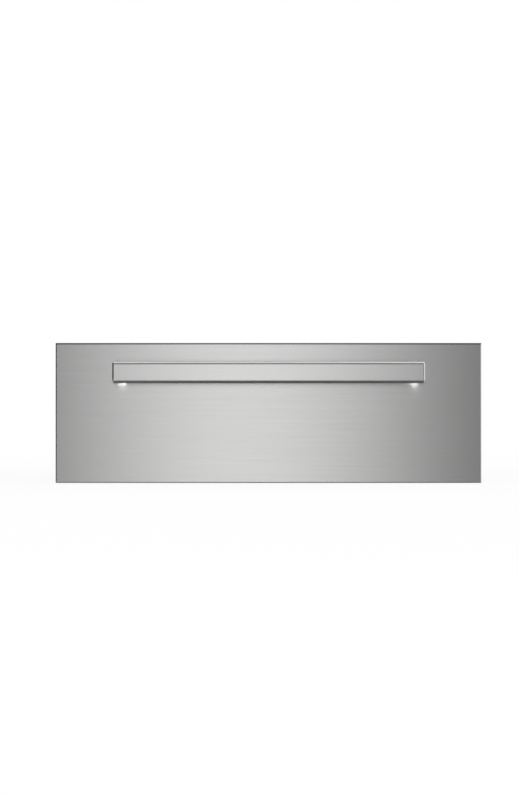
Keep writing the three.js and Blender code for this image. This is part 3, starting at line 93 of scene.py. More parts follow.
def spread_between(nodes, link, source, low, high, from_low=0.3, from_high=0.7):
    """A straight line from one range of numbers to another, held at its ends."""
    line = nodes.new("ShaderNodeMapRange")
    line.inputs["From Min"].default_value = from_low
    line.inputs["From Max"].default_value = from_high
    line.inputs["To Min"].default_value = low
    line.inputs["To Max"].default_value = high
    link(source, line.inputs["Value"])
    return line.outputs[0]


def seen_directly(nodes, link):
    """1 on rays from the camera, also through glass, and 1 on mirrored rays."""
    path = nodes.new("ShaderNodeLightPath")
    rays = path.outputs["Is Camera Ray"], path.outputs["Is Transmission Ray"]
    return worked_out(nodes, link, "MAXIMUM", *rays), path.outputs["Is Glossy Ray"]


floor_paint, nodes, link, shader = node_graph("studio_floor")
shader.inputs["Base Color"].default_value = (0.86, 0.86, 0.86, 1)
shader.inputs["Roughness"].default_value = 0.9
shader.inputs["Specular IOR Level"].default_value = 0.1
clear = worked_out(nodes, link, "MAXIMUM", *seen_directly(nodes, link))
glow = nodes.new("ShaderNodeEmission")
blend = nodes.new("ShaderNodeMixShader")
place, distance = nodes.new("ShaderNodeTexCoord"), nodes.new("ShaderNodeVectorMath")
distance.operation = "LENGTH"
link(place.outputs["Object"], distance.inputs[0])
glow_nearby, nearby, far_off = 0.9, 0.8, 2.6  # share of glow by the part, and distances in metres
paler = spread_between(nodes, link, distance.outputs["Value"], glow_nearby, 1.0, nearby, far_off)
link(worked_out(nodes, link, "MULTIPLY", clear, paler), blend.inputs["Fac"])
link(shader.outputs[0], blend.inputs[1])
link(glow.outputs[0], blend.inputs[2])
link(blend.outputs[0], nodes["Material Output"].inputs["Surface"])
half = 9  # metres from the middle of the floor to its edges
floor_mesh = bpy.data.meshes.new("floor")
floor_corners = [(-half, -half, 0), (half, -half, 0), (half, half, 0), (-half, half, 0)]
floor_mesh.from_pydata(floor_corners, [], [(0, 1, 2, 3)])
floor_mesh.materials.append(floor_paint)
floor = bpy.data.objects.new("floor", floor_mesh)
floor.visible_glossy = False
bpy.context.collection.objects.link(floor)


def mirrored_studio(nodes, link):
    """How bright the studio is where bare metal mirrors it. A direction is an angle sideways, to
    the right of the front, and an angle upward from level, both in radians."""

    def chain(operation, first, *others):
        for other in others:
            first = worked_out(nodes, link, operation, first, other)
        return first

    def fade(source, start, end, low=0.0, high=1.0):
        """low where the source is start, high where it is end, and a straight line between."""
        return spread_between(nodes, link, source, low, high, start, end)

    def bell(source, middle, spread):
        """exp(-(source - middle)^2 / (2 spread^2))"""
        away = chain("SUBTRACT", source, middle)
        scaled = chain("MULTIPLY", chain("MULTIPLY", away, away), -0.5 / spread**2)
        return worked_out(nodes, link, "EXPONENT", scaled)

    facing, axes = nodes.new("ShaderNodeTexCoord"), nodes.new("ShaderNodeSeparateXYZ")
    link(facing.outputs["Generated"], axes.inputs[0])
    ahead = chain("MULTIPLY", axes.outputs["Y"], -1.0)
    sideways = chain("ARCTAN2", axes.outputs["X"], ahead)
    upward = worked_out(nodes, link, "ARCSINE", axes.outputs["Z"])

    light_strength = 1.32  # of the soft light, a little left of the middle
    front_light = chain("MULTIPLY", bell(sideways, -0.0085, 0.048), bell(upward, 0.02, 0.32))
    cloth = fade(upward, 0.2, 0.9, low=0.05, high=0.2)
    lit = chain("ADD", chain("MULTIPLY", front_light, light_strength), cloth)

    right_wall = chain("MULTIPLY", fade(sideways, 0.3, 0.6), fade(sideways, 1.7, 2.5, 1.0, 0.7))
    left_wall = fade(sideways, -1.9, -2.5, high=0.7)
    walls = chain("MAXIMUM", right_wall, left_wall)
    walls = chain("MULTIPLY", walls, fade(upward, -0.5, 0.05, low=0.16))
    ceiling = fade(upward, 1.25, 1.42)

    left_card = chain(
        "MULTIPLY",
        fade(sideways, -0.28, -0.5, high=0.36),
        fade(sideways, -1.6, -1.2),
        fade(upward, -0.2, -0.05, 1.0, 0.1),
    )

    aside = fade(worked_out(nodes, link, "ABSOLUTE", sideways), 0.28, 0.6)
    pale_floor = fade(upward, -0.5, -0.05, 0.55, 0.05)
    pale_floor = chain("MULTIPLY", pale_floor, fade(upward, -1.3, -0.95, low=0.15))
    floor_ahead = chain("MULTIPLY", bell(upward, -0.6, 0.14), 0.3)
    low_light = chain("MAXIMUM", chain("MULTIPLY", aside, pale_floor), floor_ahead)
    return chain("MAXIMUM", lit, chain("MAXIMUM", walls, ceiling), left_card, low_light)


room = bpy.data.worlds.new("white_room")
bpy.context.scene.world = room
room.use_nodes = True
nodes, link = room.node_tree.nodes, room.node_tree.links.new
clear, mirrored_ray = seen_directly(nodes, link)
unseen_strength = 0.55  # of the room's light on the part, where the room itself isn't seen
plain = spread_between(nodes, link, clear, unseen_strength, 1.0, 0.0, 1.0)
strength = nodes.new("ShaderNodeMix")
link(mirrored_ray, strength.inputs["Factor"])
link(plain, strength.inputs["A"])
link(mirrored_studio(nodes, link), strength.inputs["B"])
link(strength.outputs["Result"], nodes["Background"].inputs["Strength"])
nodes["Background"].inputs["Color"].default_value = (1, 1, 1, 1)


def soft_lamp(name, at, facing, size, watts, spread=180):
    """An area lamp, wide and deep as size says, that shines along facing and isn't seen itself."""
    data = bpy.data.lights.new(name, "AREA")
    data.shape = "RECTANGLE"
    data.size, data.size_y = size
    data.energy = watts
    data.spread = math.radians(spread)
    lamp = bpy.data.objects.new(name, data)
    bpy.context.collection.objects.link(lamp)
    lamp.location = at
    lamp.rotation_euler = Vector(facing).to_track_quat("-Z", "Y").to_euler()
    lamp.visible_glossy = False
    lamp.visible_camera = False


soft_lamp("key_left", (-1.9, -2.2, 2.4), (1.9, 2.2, -2.3), (1.4, 1.4), 38)
soft_lamp("fill_right", (2.6, -1.2, 1.8), (-2.6, 1.2, -1.7), (1.6, 1.6), 30)
soft_lamp("rear_top", (0.4, 2.4, 2.6), (-0.4, -2.4, -2.5), (1.6, 1.6), 34)
# A small lamp on the floor under each end of the bar lights the foot of its stand-off.
for hand, across in (("left", -0.262), ("right", 0.262)):
    at = (across, -0.313, 0.01)
    soft_lamp(f"under_{hand}_post", at, (0, 0, 1), (0.06, 0.056), watts=0.5, spread=40)


# ---------------------------------------------------------------- front panel
# The face is one stainless sheet, 1.2 mm thick, folded back on all four sides with its corners
# welded and ground. It is brushed from side to side, so highlights draw out up and down.


def rows_to_faces(count_rows, count_columns, wrap_rows=False, wrap_columns=False):
    """The four corner numbers of each cell of a grid, as an array of one row for each face."""
    row = np.arange(count_rows if wrap_rows else count_rows - 1)
    column = np.arange(count_columns if wrap_columns else count_columns - 1)
    row, column = np.meshgrid(row, column, indexing="ij")
    next_row, next_column = (row + 1) % count_rows, (column + 1) % count_columns
    faces = [row * count_columns + column, row * count_columns + next_column]
    faces += [next_row * count_columns + next_column, next_row * count_columns + column]
    return np.stack([f.ravel() for f in faces], axis=1)


def surface(grid, wrap_rows=False, wrap_columns=True, capped=True):
    """Points (rows, columns, 3) in millimetres and the faces over them. Each row is one section,
    and the first and last sections are closed by a flat face when capped. Faces are turned so
    that the volume inside them, the sum of a . (b x c) over their corners, is positive."""
    rows, columns = grid.shape[:2]
    points = grid.reshape(-1, 3)
    loops = [rows_to_faces(rows, columns, wrap_rows, wrap_columns)]
    if capped and not wrap_rows:
        ring = np.arange(columns)[None]
        loops += [ring[:, ::-1], ring + (rows - 1) * columns]
    centred = points - points.mean(axis=0)
    volume = 0.0
    for loop in loops:
        first, near, far = centred[loop[:, :1]], centred[loop[:, 1:-1]], centred[loop[:, 2:]]
        volume += float((first * np.cross(near, far)).sum())
    if volume < 0:
        loops = [loop[:, ::-1] for loop in loops]
    return points, [tuple(face) for loop in loops for face in loop.tolist()]


smooth_up_to = 32  # degrees between two faces


def make_piece(name, surfaces, material, body, stands_for=()):
    """One object from several surfaces, with its sharp edges kept, on its body of the frame."""
    points, faces, used = [], [], 0
    for part_points, part_faces in surfaces:
        points.append(part_points)
        faces += [tuple(i + used for i in f) for f in part_faces]
        used += len(part_points)
    mesh = bpy.data.meshes.new(name)
    mesh.from_pydata((np.concatenate(points) / 1000).tolist(), [], faces)
    mesh.polygons.foreach_set("use_smooth", np.ones(len(mesh.polygons), dtype=bool))
    mesh.set_sharp_from_angle(angle=math.radians(smooth_up_to))
    mesh.materials.append(material)
    mesh.update()
    piece = bpy.data.objects.new(name, mesh)
    bpy.context.collection.objects.link(piece)
    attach(piece, body)
    if stands_for:
        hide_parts(*stands_for)
    return piece


def brushing_map(piece):
    """A UV map whose first axis runs across the brushing: up the face, and back over the folds.
    first = z + sign(nz) y, second = x + sign(nx) y, in metres, with n the face's normal."""
    mesh = piece.data
    corner_point = np.empty(len(mesh.loops), dtype=np.int32)
    mesh.loops.foreach_get("vertex_index", corner_point)
    points = np.empty(len(mesh.vertices) * 3, dtype=np.float32)
    mesh.vertices.foreach_get("co", points)
    points = points.reshape(-1, 3)[corner_point]
    normals = np.empty(len(mesh.polygons) * 3, dtype=np.float32)
    mesh.polygons.foreach_get("normal", normals)
    sizes = np.empty(len(mesh.polygons), dtype=np.int32)
    mesh.polygons.foreach_get("loop_total", sizes)
    normals = np.repeat(np.round(normals.reshape(-1, 3), 3), sizes, axis=0)
    first = points[:, 2] + np.sign(normals[:, 2]) * points[:, 1]
    second = points[:, 0] + np.sign(normals[:, 0]) * points[:, 1]
    layer = mesh.uv_layers.new(name="brushing")
    layer.data.foreach_set("uv", np.stack([first, second], axis=1).astype(np.float32).ravel())


def box_of(node):
    """Lowest and highest corner of a CAD node, in millimetres."""
    low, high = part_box(node)
    return np.array(low) * 1000, np.array(high) * 1000


def fine_noise(nodes, link, scale, detail=4.0, rough=0.55):
    """Noise on the piece's own coordinates in metres, stretched by a scale for each axis."""
    place = nodes.new("ShaderNodeTexCoord")
    stretch = nodes.new("ShaderNodeMapping")
    stretch.inputs["Scale"].default_value = scale
    link(place.outputs["Object"], stretch.inputs["Vector"])
    noise = nodes.new("ShaderNodeTexNoise")
    noise.inputs["Scale"].default_value = 1.0
    noise.inputs["Detail"].default_value = detail
    noise.inputs["Roughness"].default_value = rough
    link(stretch.outputs[0], noise.inputs["Vector"])
    return noise.outputs["Fac"]


def two_tones(nodes, link, source, dark, light, from_low=0.3, from_high=0.7):
    """A colour that runs from dark to light with the source."""
    ramp = nodes.new("ShaderNodeValToRGB")
    ramp.color_ramp.elements[0].position = from_low
    ramp.color_ramp.elements[0].color = (*dark, 1)
    ramp.color_ramp.elements[1].position = from_high
    ramp.color_ramp.elements[1].color = (*light, 1)
    link(source, ramp.inputs["Fac"])
    return ramp.outputs["Color"]


def raised(nodes, link, shader, height, strength, distance):
    """Bumps the shader's surface with a height source, distance in metres."""
    bump = nodes.new("ShaderNodeBump")
    bump.inputs["Strength"].default_value = strength
    bump.inputs["Distance"].default_value = distance
    link(height, bump.inputs["Height"])
    link(bump.outputs[0], shader.inputs["Normal"])


def brushed_steel(name, tone, roughness, drawn_out, metallic=1.0):
    """Stainless steel ground along X: fine lines in tone and gloss, drawn out across them."""
    material, nodes, link, shader = node_graph(name)
    lines = fine_noise(nodes, link, (5, 5, 2600), detail=5)
    cloud = fine_noise(nodes, link, (9, 9, 330), detail=3)
    softer = worked_out(nodes, link, "MULTIPLY", cloud, 0.55)
    shade = worked_out(nodes, link, "MULTIPLY_ADD", lines, 0.45, softer)
    dark, light = [c * 0.975 for c in tone], [c * 1.025 for c in tone]
    link(two_tones(nodes, link, shade, dark, light), shader.inputs["Base Color"])
    gloss = spread_between(nodes, link, lines, roughness * 0.93, roughness * 1.07)
    link(gloss, shader.inputs["Roughness"])
    shader.inputs["Metallic"].default_value = metallic
    shader.inputs["Anisotropic"].default_value = drawn_out
    tangent = nodes.new("ShaderNodeTangent")
    tangent.direction_type = "UV_MAP"
    tangent.uv_map = "brushing"
    link(tangent.outputs[0], shader.inputs["Tangent"])
    raised(nodes, link, shader, lines, 0.12, 0.00004)
    return material


def painted_reflection_above(material, start, end, tone):
    """Blends a material's colour into a plain grey tone between two heights, in metres: a painted
    dark reflection.
    """
    nodes, link = material.node_tree.nodes, material.node_tree.links.new
    colour = nodes["Principled BSDF"].inputs["Base Color"]
    place, height = nodes.new("ShaderNodeTexCoord"), nodes.new("ShaderNodeSeparateXYZ")
    link(place.outputs["Object"], height.inputs[0])
    share = spread_between(nodes, link, height.outputs["Z"], 0.0, 1.0, start, end)
    darker = nodes.new("ShaderNodeMix")
    darker.data_type = "RGBA"
    darker.inputs["B"].default_value = (tone, tone, tone, 1)
    link(share, darker.inputs["Factor"])
    link(colour.links[0].from_socket, darker.inputs["A"])
    link(darker.outputs["Result"], colour)


def round_corners(steps):
    """Angles round the four corners of a rectangle, and the signs of each corner's place."""
    swing = np.radians(np.concatenate([np.linspace(a, a + 90, steps) for a in (0, 90, 180, 270)]))
    return swing, np.repeat(np.array([[1, 1], [-1, 1], [-1, -1], [1, -1]]), steps, axis=0)


def folded_face(low, high, gauge, fold, corner, flat):
    """Closed shell of a folded sheet. A profile of (inset, depth) pairs runs from the inside of the
    face over the inner fold to the rear edge of the return, and back over the outer fold to the
    front: inset = r (1 - cos t), depth = r (1 - sin t). Each pair is carried round the rectangle,
    whose corners have the given radius less the inset."""
    turn = np.radians(np.linspace(0, 90, 7))
    rear = high[1] - low[1]
    outer, inner = fold * (1 - np.cos(turn)), gauge + (fold - gauge) * (1 - np.cos(turn))
    inset = np.concatenate([[fold + flat], inner[::-1], [gauge, 0], outer, [fold + flat, fold + 4]])
    outer, inner = fold * (1 - np.sin(turn)), gauge + (fold - gauge) * (1 - np.sin(turn))
    depth = np.concatenate([[gauge], inner[::-1], [rear, rear], outer, [0, 0]])
    half, middle = (high[[0, 2]] - low[[0, 2]]) / 2, (high[[0, 2]] + low[[0, 2]]) / 2
    swing, side = round_corners(5)
    radius = np.maximum(corner - inset, 0.05)[:, None]
    x = middle[0] + side[:, 0] * (half[0] - inset[:, None] - radius) + radius * np.cos(swing)
    z = middle[1] + side[:, 1] * (half[1] - inset[:, None] - radius) + radius * np.sin(swing)
    y = low[1] + np.repeat(depth[:, None], len(swing), axis=1)
    return np.stack([x, y, z], axis=2)


panel_steel = brushed_steel("brushed_panel", (0.72, 0.72, 0.715), 0.2, 0.6)
low, high = box_of("front_skin")
# The real fold along the top mirrors dark cloth. Here that dark reflection is painted into the
# fold's own colour instead.
fold_starts, fold_ends = (high[2] - 3.9) / 1000, (high[2] - 1.0) / 1000
painted_reflection_above(panel_steel, fold_starts, fold_ends, 0.15)
front_panel = make_piece(
    "front_panel",
    [surface(folded_face(low, high, gauge=1.2, fold=2.0, corner=0.8, flat=0.3))],
    panel_steel,
    "drawer",
    ["front_skin"],
)
brushing_map(front_panel)


# ---------------------------------------------------------------- handle
# A solid stainless bar, brushed along its length, with rounded long edges and eased ends. Two
# forged stand-offs hold it away from the face, each pulled tight by a screw from inside.


def corner_arc(middle, radius, start, end, steps, straight=0.5):
    """(y, z) points on a quarter round, middle + radius (cos, sin), angles in degrees, with a short
    straight at each end, so that the flats beside it stay flat."""
    angle = np.radians(np.linspace(start, end, steps))
    round_part = np.stack([np.cos(angle), np.sin(angle)], axis=1) * radius + middle
    along = np.stack([-np.sin(angle), np.cos(angle)], axis=1) * np.sign(end - start) * straight
    return np.concatenate([round_part[:1] - along[:1], round_part, round_part[-1:] + along[-1:]])


def bar_section(low, high, front_round, back_round, inset):
    """Outline of the bar in (y, z): large rounds in front, small ones behind, drawn in by inset."""
    front, back = low[1] + inset, high[1] - inset
    bottom, top = low[2] + inset, high[2] - inset
    f, b = front_round, back_round
    return np.concatenate(
        [
            corner_arc((front + f, top - f), f, 180, 90, 9),
            corner_arc((back - b, top - b), b, 90, 0, 5),
            corner_arc((back - b, bottom + b), b, 0, -90, 5),
            corner_arc((front + f, bottom + f), f, 270, 180, 9),
        ]
    )


low, high = box_of("handle_bar")
front_round, back_round = 6, 1.2
end_round, end_length = 2.4, 3.2  # of the eased ends
ease = np.radians(np.linspace(0, 90, 7))
inset = np.append(end_round * (1 - np.sin(ease)), 0)
reach = np.append(end_round * (1 - np.cos(ease)), end_length)
stations = np.concatenate([low[0] + reach, (high[0] - reach)[::-1]])
insets = np.concatenate([inset, inset[::-1]])
sections = np.stack([bar_section(low, high, front_round, back_round, i) for i in insets])
along = np.broadcast_to(stations[:, None, None], (*sections.shape[:2], 1))
bar = surface(np.concatenate([along, sections], axis=2))
bar_steel = brushed_steel("brushed_bar", (0.85, 0.85, 0.845), 0.23, 0.65)
handle = make_piece("handle", [bar], bar_steel, "drawer", ["handle_bar"])
brushing_map(handle)


def round_the_rectangle(low, high, radius, steps=7):
    """Stations (x, z) and outward directions round a rectangle whose corners have the radius."""
    swing, side = round_corners(steps)
    outward = np.stack([np.cos(swing), np.sin(swing)], axis=1)
    middle, half = (np.array(high) + low) / 2, (np.array(high) - low) / 2
    return middle + side * (half - radius) + radius * outward, outward


def post_shape(low, high, foot, shank_round=3):
    """Rings (x, z) from the bar to the face: a straight shank that sweeps out into its foot as a
    quarter circle of radius foot, then a short straight edge against the face."""
    sweep = np.radians(np.linspace(0, 90, 6))
    shank_end = high[1] - 2 * foot
    depth = np.concatenate([[low[1], shank_end], shank_end + foot * np.sin(sweep), [high[1]]])
    reach = np.concatenate([[0, 0], foot * (1 - np.cos(sweep)), [foot]]) - foot
    rings = []
    for r, y in zip(reach, depth):
        corner = shank_round + r + foot
        ring, _ = round_the_rectangle(low[[0, 2]] - r, high[[0, 2]] + r, corner, steps=5)
        rings.append(np.insert(ring, 1, y, axis=1))
    return np.stack(rings)


post_steel = brushed_steel("post_satin", (0.55, 0.55, 0.545), 0.5, 0.2, metallic=0.35)
inner_side_in = 3.0  # each stand-off is narrower than its solid, on the side towards the middle
for hand in ("left", "right"):
    low, high = box_of(f"{hand}_handle_post")
    if hand == "left":
        high[0] -= inner_side_in
    else:
        low[0] += inner_side_in
    post = make_piece(
        f"{hand}_stand_off",
        [surface(post_shape(low, high, foot=0.8))],
        post_steel,
        "drawer",
        [f"{hand}_handle_post"],
    )
    brushing_map(post)


# ---------------------------------------------------------------- liner and its batt
# The back of the front is a pressed stainless tray, its flange turned forward inside the skin. A
# batt of mineral wool fills the room between the two and gives way round each handle screw.


def finish_nodes(material, *names):
    """Gives CAD nodes that stay as they are their finish."""
    for name in names:
        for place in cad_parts[name].material_slots:
            place.material = material


def satin_steel(name, along, tone=(0.60, 0.60, 0.59), roughness=0.34):
    """Mill finished stainless sheet: fine rolling lines along one axis, soft clouds in gloss."""
    material, nodes, link, shader = node_graph(name)
    lines = fine_noise(nodes, link, [5 if axis == along else 1500 for axis in "xyz"], detail=4)
    cloud = fine_noise(nodes, link, (7, 7, 7), detail=3)
    both = worked_out(nodes, link, "ADD", worked_out(nodes, link, "MULTIPLY", lines, 0.6), 0.2)
    both = worked_out(nodes, link, "ADD", both, worked_out(nodes, link, "MULTIPLY", cloud, 0.25))
    dark, light = [c * 0.93 for c in tone], [c * 1.05 for c in tone]
    link(two_tones(nodes, link, both, dark, light, 0.4, 0.8), shader.inputs["Base Color"])
    gloss = spread_between(nodes, link, both, roughness * 0.85, roughness * 1.15, 0.4, 0.8)
    link(gloss, shader.inputs["Roughness"])
    shader.inputs["Metallic"].default_value = 1.0
    raised(nodes, link, shader, lines, 0.1, 0.00005)
    return material


sheet_steel = satin_steel("satin_sheet", "x")
finish_nodes(sheet_steel, "front_liner")


def fibre_wool(name, dark, light):
    """Matted mineral fibre: strands lying both ways in a varied tone, with painted shade darkening
    the hollows between the tufts.
    """
    material, nodes, link, shader = node_graph(name)
    strands = worked_out(
        nodes,
        link,
        "MAXIMUM",
        fine_noise(nodes, link, (90, 900, 900), detail=4, rough=0.7),
        fine_noise(nodes, link, (900, 90, 700), detail=4, rough=0.7),
    )
    tufts = fine_noise(nodes, link, (45, 45, 60), detail=3)
    pile_and_painted_shade = worked_out(nodes, link, "ADD", worked_out(nodes, link, "MULTIPLY", strands, 0.6), tufts)
    # The colour follows the bump's height: the fibre's own tone from the strands, and painted shade
    # where the tufts sink into hollows.
    link(two_tones(nodes, link, pile_and_painted_shade, dark, light, 0.6, 1.0), shader.inputs["Base Color"])
    link(spread_between(nodes, link, tufts, 0.88, 1.0), shader.inputs["Roughness"])
    shader.inputs["Specular IOR Level"].default_value = 0.15
    raised(nodes, link, shader, pile_and_painted_shade, 0.8, 0.0012)
    return material


def batt_shape(low, high, thin, lump, rows=90, columns=40):
    """A soft slab from low to high, thin along axis 1 or 2. With u and v from -1 to 1 across and
    along it, its half thickness is h (0.35 + 0.65 sqrt((1 - u^24) (1 - v^24))), less a waviness
    that sinks up to lump: (2 + sin(x / 31 + 2 sin(w / 43)) + sin(w / 19 + sin(x / 57))) / 4, where
    x and w are the places along and across it in millimetres."""
    wide = 3 - thin
    v = np.linspace(-1, 1, rows)[:, None]
    u = np.linspace(-1, 1, columns)
    u, upward = np.concatenate([u, u[::-1]])[None], np.repeat([1, -1], columns)[None]
    middle, half = (low + high) / 2, (high - low) / 2
    long_place = middle[0] + half[0] * v + 0 * u
    wide_place = middle[wide] + half[wide] * u + 0 * v
    swell = 0.35 + 0.65 * np.sqrt((1 - u**24) * (1 - v**24))
    wave = np.sin(long_place / 31 + 2 * np.sin(wide_place / 43))
    wave = wave + np.sin(wide_place / 19 + np.sin(long_place / 57))
    thickness = half[thin] * swell - lump * (2 + wave) / 4 * swell
    grid = np.empty((*long_place.shape, 3))
    grid[..., 0], grid[..., wide] = long_place, wide_place
    grid[..., thin] = middle[thin] + upward * thickness
    return grid


wool = fibre_wool("mineral_fibre", (0.34, 0.27, 0.12), (0.74, 0.66, 0.42))
low, high = box_of("front_insulation")
front_wool = batt_shape(low, high, thin=1, lump=2.0)
dent, dent_spread = 5.5, 160  # depth of the hollow round a screw, and twice its spread squared
for hand in ("left", "right"):
    screw_low, screw_high = box_of(f"{hand}_handle_screw")
    apart = front_wool[..., [0, 2]] - (screw_low + screw_high)[[0, 2]] / 2
    pressed_in = dent * np.exp(-(apart**2).sum(axis=2) / dent_spread)
    facing_out = front_wool[..., 1] < (low[1] + high[1]) / 2
    front_wool[..., 1] += pressed_in * facing_out
front_batt = make_piece(
    "front_batt", [surface(front_wool)], wool, "drawer", ["front_insulation"]
)


# ---------------------------------------------------------------- door seal
# A silicone bulb seal runs round the back of the front and closes on the rails and flanges. It is
# one extruded length, a flat foot with a hollow bulb on it, joined end to end.


def silicone(name, dark, light):
    """Matt moulded silicone: a faint bloom and fine drag marks."""
    material, nodes, link, shader = node_graph(name)
    bloom = fine_noise(nodes, link, (30, 30, 30), detail=4)
    grain = fine_noise(nodes, link, (1800, 1800, 1800), detail=2)
    link(two_tones(nodes, link, bloom, dark, light), shader.inputs["Base Color"])
    link(spread_between(nodes, link, bloom, 0.55, 0.72), shader.inputs["Roughness"])
    shader.inputs["Specular IOR Level"].default_value = 0.35
    raised(nodes, link, shader, grain, 0.25, 0.0001)
    return material


seal_silicone = silicone("seal_silicone", (0.022, 0.022, 0.023), (0.045, 0.045, 0.046))
low, high = box_of("door_gasket")
seal_half, bulb_half = 3.0, 2.1
foot_edge, foot_top = 0.6, 0.8
bulb = np.radians(np.linspace(0, 180, 11))
bulb_rise = high[1] - low[1] - foot_top
foot_out = np.array([-seal_half, seal_half, seal_half])
seal_out = np.concatenate([foot_out, bulb_half * np.cos(bulb), [-seal_half]])
seal_up = np.concatenate([[0, 0, foot_edge], foot_top + bulb_rise * np.sin(bulb), [foot_edge]])
path, outward = round_the_rectangle(low[[0, 2]] + seal_half, high[[0, 2]] - seal_half, 6)
seal = np.empty((len(path), len(seal_out), 3))
seal[..., [0, 2]] = path[:, None] + outward[:, None] * seal_out[None, :, None]
seal[..., 1] = low[1] + seal_up
make_piece(
    "door_seal",
    [surface(seal, wrap_rows=True, capped=False)],
    seal_silicone,
    "drawer",
    ["door_gasket"],
)


# ---------------------------------------------------------------- drawer box
# Four folded walls and a floor pan of satin stainless, spot welded at the corners. The front wall
# has vents with a sliding shutter behind them, and two zinc plated angles carry the front.

wall_steel = satin_steel("satin_wall", "y")
finish_nodes(wall_steel, "drawer_left_wall", "drawer_right_wall")
finish_nodes(sheet_steel, "drawer_front_wall", "drawer_back_wall", "drawer_floor", "vent_shutter")


def zinc_plating(name, dark, light, roughness=0.3):
    """Bright zinc on steel: a bluish cloud, slightly duller where the bath left it thick."""
    material, nodes, link, shader = node_graph(name)
    cloud = fine_noise(nodes, link, (26, 26, 40), detail=5, rough=0.6)
    grain = fine_noise(nodes, link, (900, 900, 900), detail=3)
    link(two_tones(nodes, link, cloud, dark, light), shader.inputs["Base Color"])
    gloss = spread_between(nodes, link, cloud, roughness * 1.2, roughness * 0.85)
    link(gloss, shader.inputs["Roughness"])
    shader.inputs["Metallic"].default_value = 1.0
    raised(nodes, link, shader, grain, 0.12, 0.00006)
    return material


zinc = zinc_plating("bright_zinc", (0.50, 0.52, 0.56), (0.64, 0.66, 0.68))
finish_nodes(zinc, "left_front_bracket", "right_front_bracket")
finish_nodes(zinc, "left_handle_screw", "right_handle_screw")


# ---------------------------------------------------------------- serving rack
# Chromed steel wire, resistance welded: a bent frame, twelve wires across it, two bearers under
# them and four feet with silicone tips, which keep the plates off the hot floor.


def wire(path, radius, steps=14, closed=False):
    """A round wire along a path of points. A ring at each point is radius (cos a, sin a) across and
    above the path; an open wire ends in rings that close in as a quarter circle."""
    path = np.array(path, dtype=float)
    ahead = np.roll(path, -1, axis=0) - path
    if not closed:
        ahead[-1] = ahead[-2]
    ahead /= np.linalg.norm(ahead, axis=1)[:, None]
    behind = np.roll(ahead, 1, axis=0)
    if not closed:
        behind[0] = ahead[0]
    along = ahead + behind
    along /= np.linalg.norm(along, axis=1)[:, None]
    size = np.full(len(path), float(radius))
    if not closed:
        ease = np.radians((20, 50, 75))
        start = path[0] + along[0] * radius * (1 - np.sin(ease[::-1]))[:, None]
        end = path[-1] - along[-1] * radius * (1 - np.sin(ease))[:, None]
        first, last = path[:1] + along[:1] * radius, path[-1:] - along[-1:] * radius
        path = np.concatenate([start, first, path[1:-1], last, end])
        tip, tail_end = np.repeat(along[:1], 3, axis=0), np.repeat(along[-1:], 3, axis=0)
        along = np.concatenate([tip, along, tail_end])
        size = radius * np.concatenate([np.cos(ease[::-1]), np.ones(len(path) - 6), np.cos(ease)])
    lead = np.array([0.0, 0.0, 1.0]) if abs(along[:, 2]).max() < 0.7 else np.array([0.0, 1.0, 0.0])
    across = np.cross(along, lead)
    across /= np.linalg.norm(across, axis=1)[:, None]
    above = np.cross(across, along)
    angle = np.linspace(0, 2 * np.pi, steps, endpoint=False)[None, :, None]
    ring = across[:, None] * np.cos(angle) + above[:, None] * np.sin(angle)
    return surface(path[:, None] + size[:, None, None] * ring, wrap_rows=closed, capped=not closed)


def polished_metal(name, dark, light, roughness):
    """Bright plated or ground metal: faint ripples and a little change of gloss."""
    material, nodes, link, shader = node_graph(name)
    ripple = fine_noise(nodes, link, (60, 60, 60), detail=3)
    link(two_tones(nodes, link, ripple, dark, light), shader.inputs["Base Color"])
    gloss = spread_between(nodes, link, ripple, roughness * 0.6, roughness * 1.4)
    link(gloss, shader.inputs["Roughness"])
    shader.inputs["Metallic"].default_value = 1.0
    raised(nodes, link, shader, ripple, 0.08, 0.0002)
    return material


def weld_bead(middle, radii, steps=12):
    """A small ellipsoid, middle + radii (cos b cos a, cos b sin a, sin b)."""
    swing = np.linspace(0, 2 * np.pi, steps, endpoint=False)[None]
    lift = np.radians(np.linspace(-84, 84, 8))[:, None]
    unit = [np.cos(lift) * np.cos(swing), np.cos(lift) * np.sin(swing), np.sin(lift) + 0 * swing]
    return surface(np.array(middle) + np.stack(unit, axis=2) * np.array(radii))


chrome = polished_metal("rack_chrome", (0.70, 0.71, 0.72), (0.80, 0.81, 0.82), 0.12)
low, high = box_of("wire_rack")
floor_top = low[2] - 0.3
frame_wire, cross_wire, foot_wire = 3.0, 2.0, 2.4
rack_level = high[2] - frame_wire
rack_path, _ = round_the_rectangle(low[:2] + frame_wire, high[:2] - frame_wire, 24)
rack_path = np.insert(rack_path, 2, rack_level, axis=1)
rack_left, rack_front, _ = low + frame_wire
rack_right, rack_rear, _ = high - frame_wire
cross_places = np.linspace(rack_left, rack_right, 14)[1:-1]
bearer_places = np.linspace(rack_front, rack_rear, 4)[1:-1]
bearer_level = rack_level - 0.7 * 2 * cross_wire  # the two wires sink into each other as they weld
foot_inset = 60
foot_rows = (rack_front + foot_inset, rack_rear - foot_inset)
foot_places = [(x, y) for x in (rack_left, rack_right) for y in foot_rows]
wires = [wire(rack_path, frame_wire, steps=18, closed=True)]
for x in cross_places:
    wires.append(wire([(x, rack_front, rack_level), (x, rack_rear, rack_level)], cross_wire))
for y in bearer_places:
    wires.append(wire([(rack_left, y, bearer_level), (rack_right, y, bearer_level)], cross_wire))
for x, y in foot_places:
    wires.append(wire([(x, y, floor_top + 1.5), (x, y, rack_level)], foot_wire))
for y in (rack_front, rack_rear):
    inward = np.sign((rack_front + rack_rear) / 2 - y)
    wires += [weld_bead((x, y + inward * 2.6, rack_level), (2.5, 1.6, 2.4)) for x in cross_places]
for x, y in foot_places:
    wires.append(weld_bead((x, y, rack_level - 2.6), (2.9, 2.9, 1.5)))
make_piece("serving_rack", wires, chrome, "drawer", ["wire_rack"])


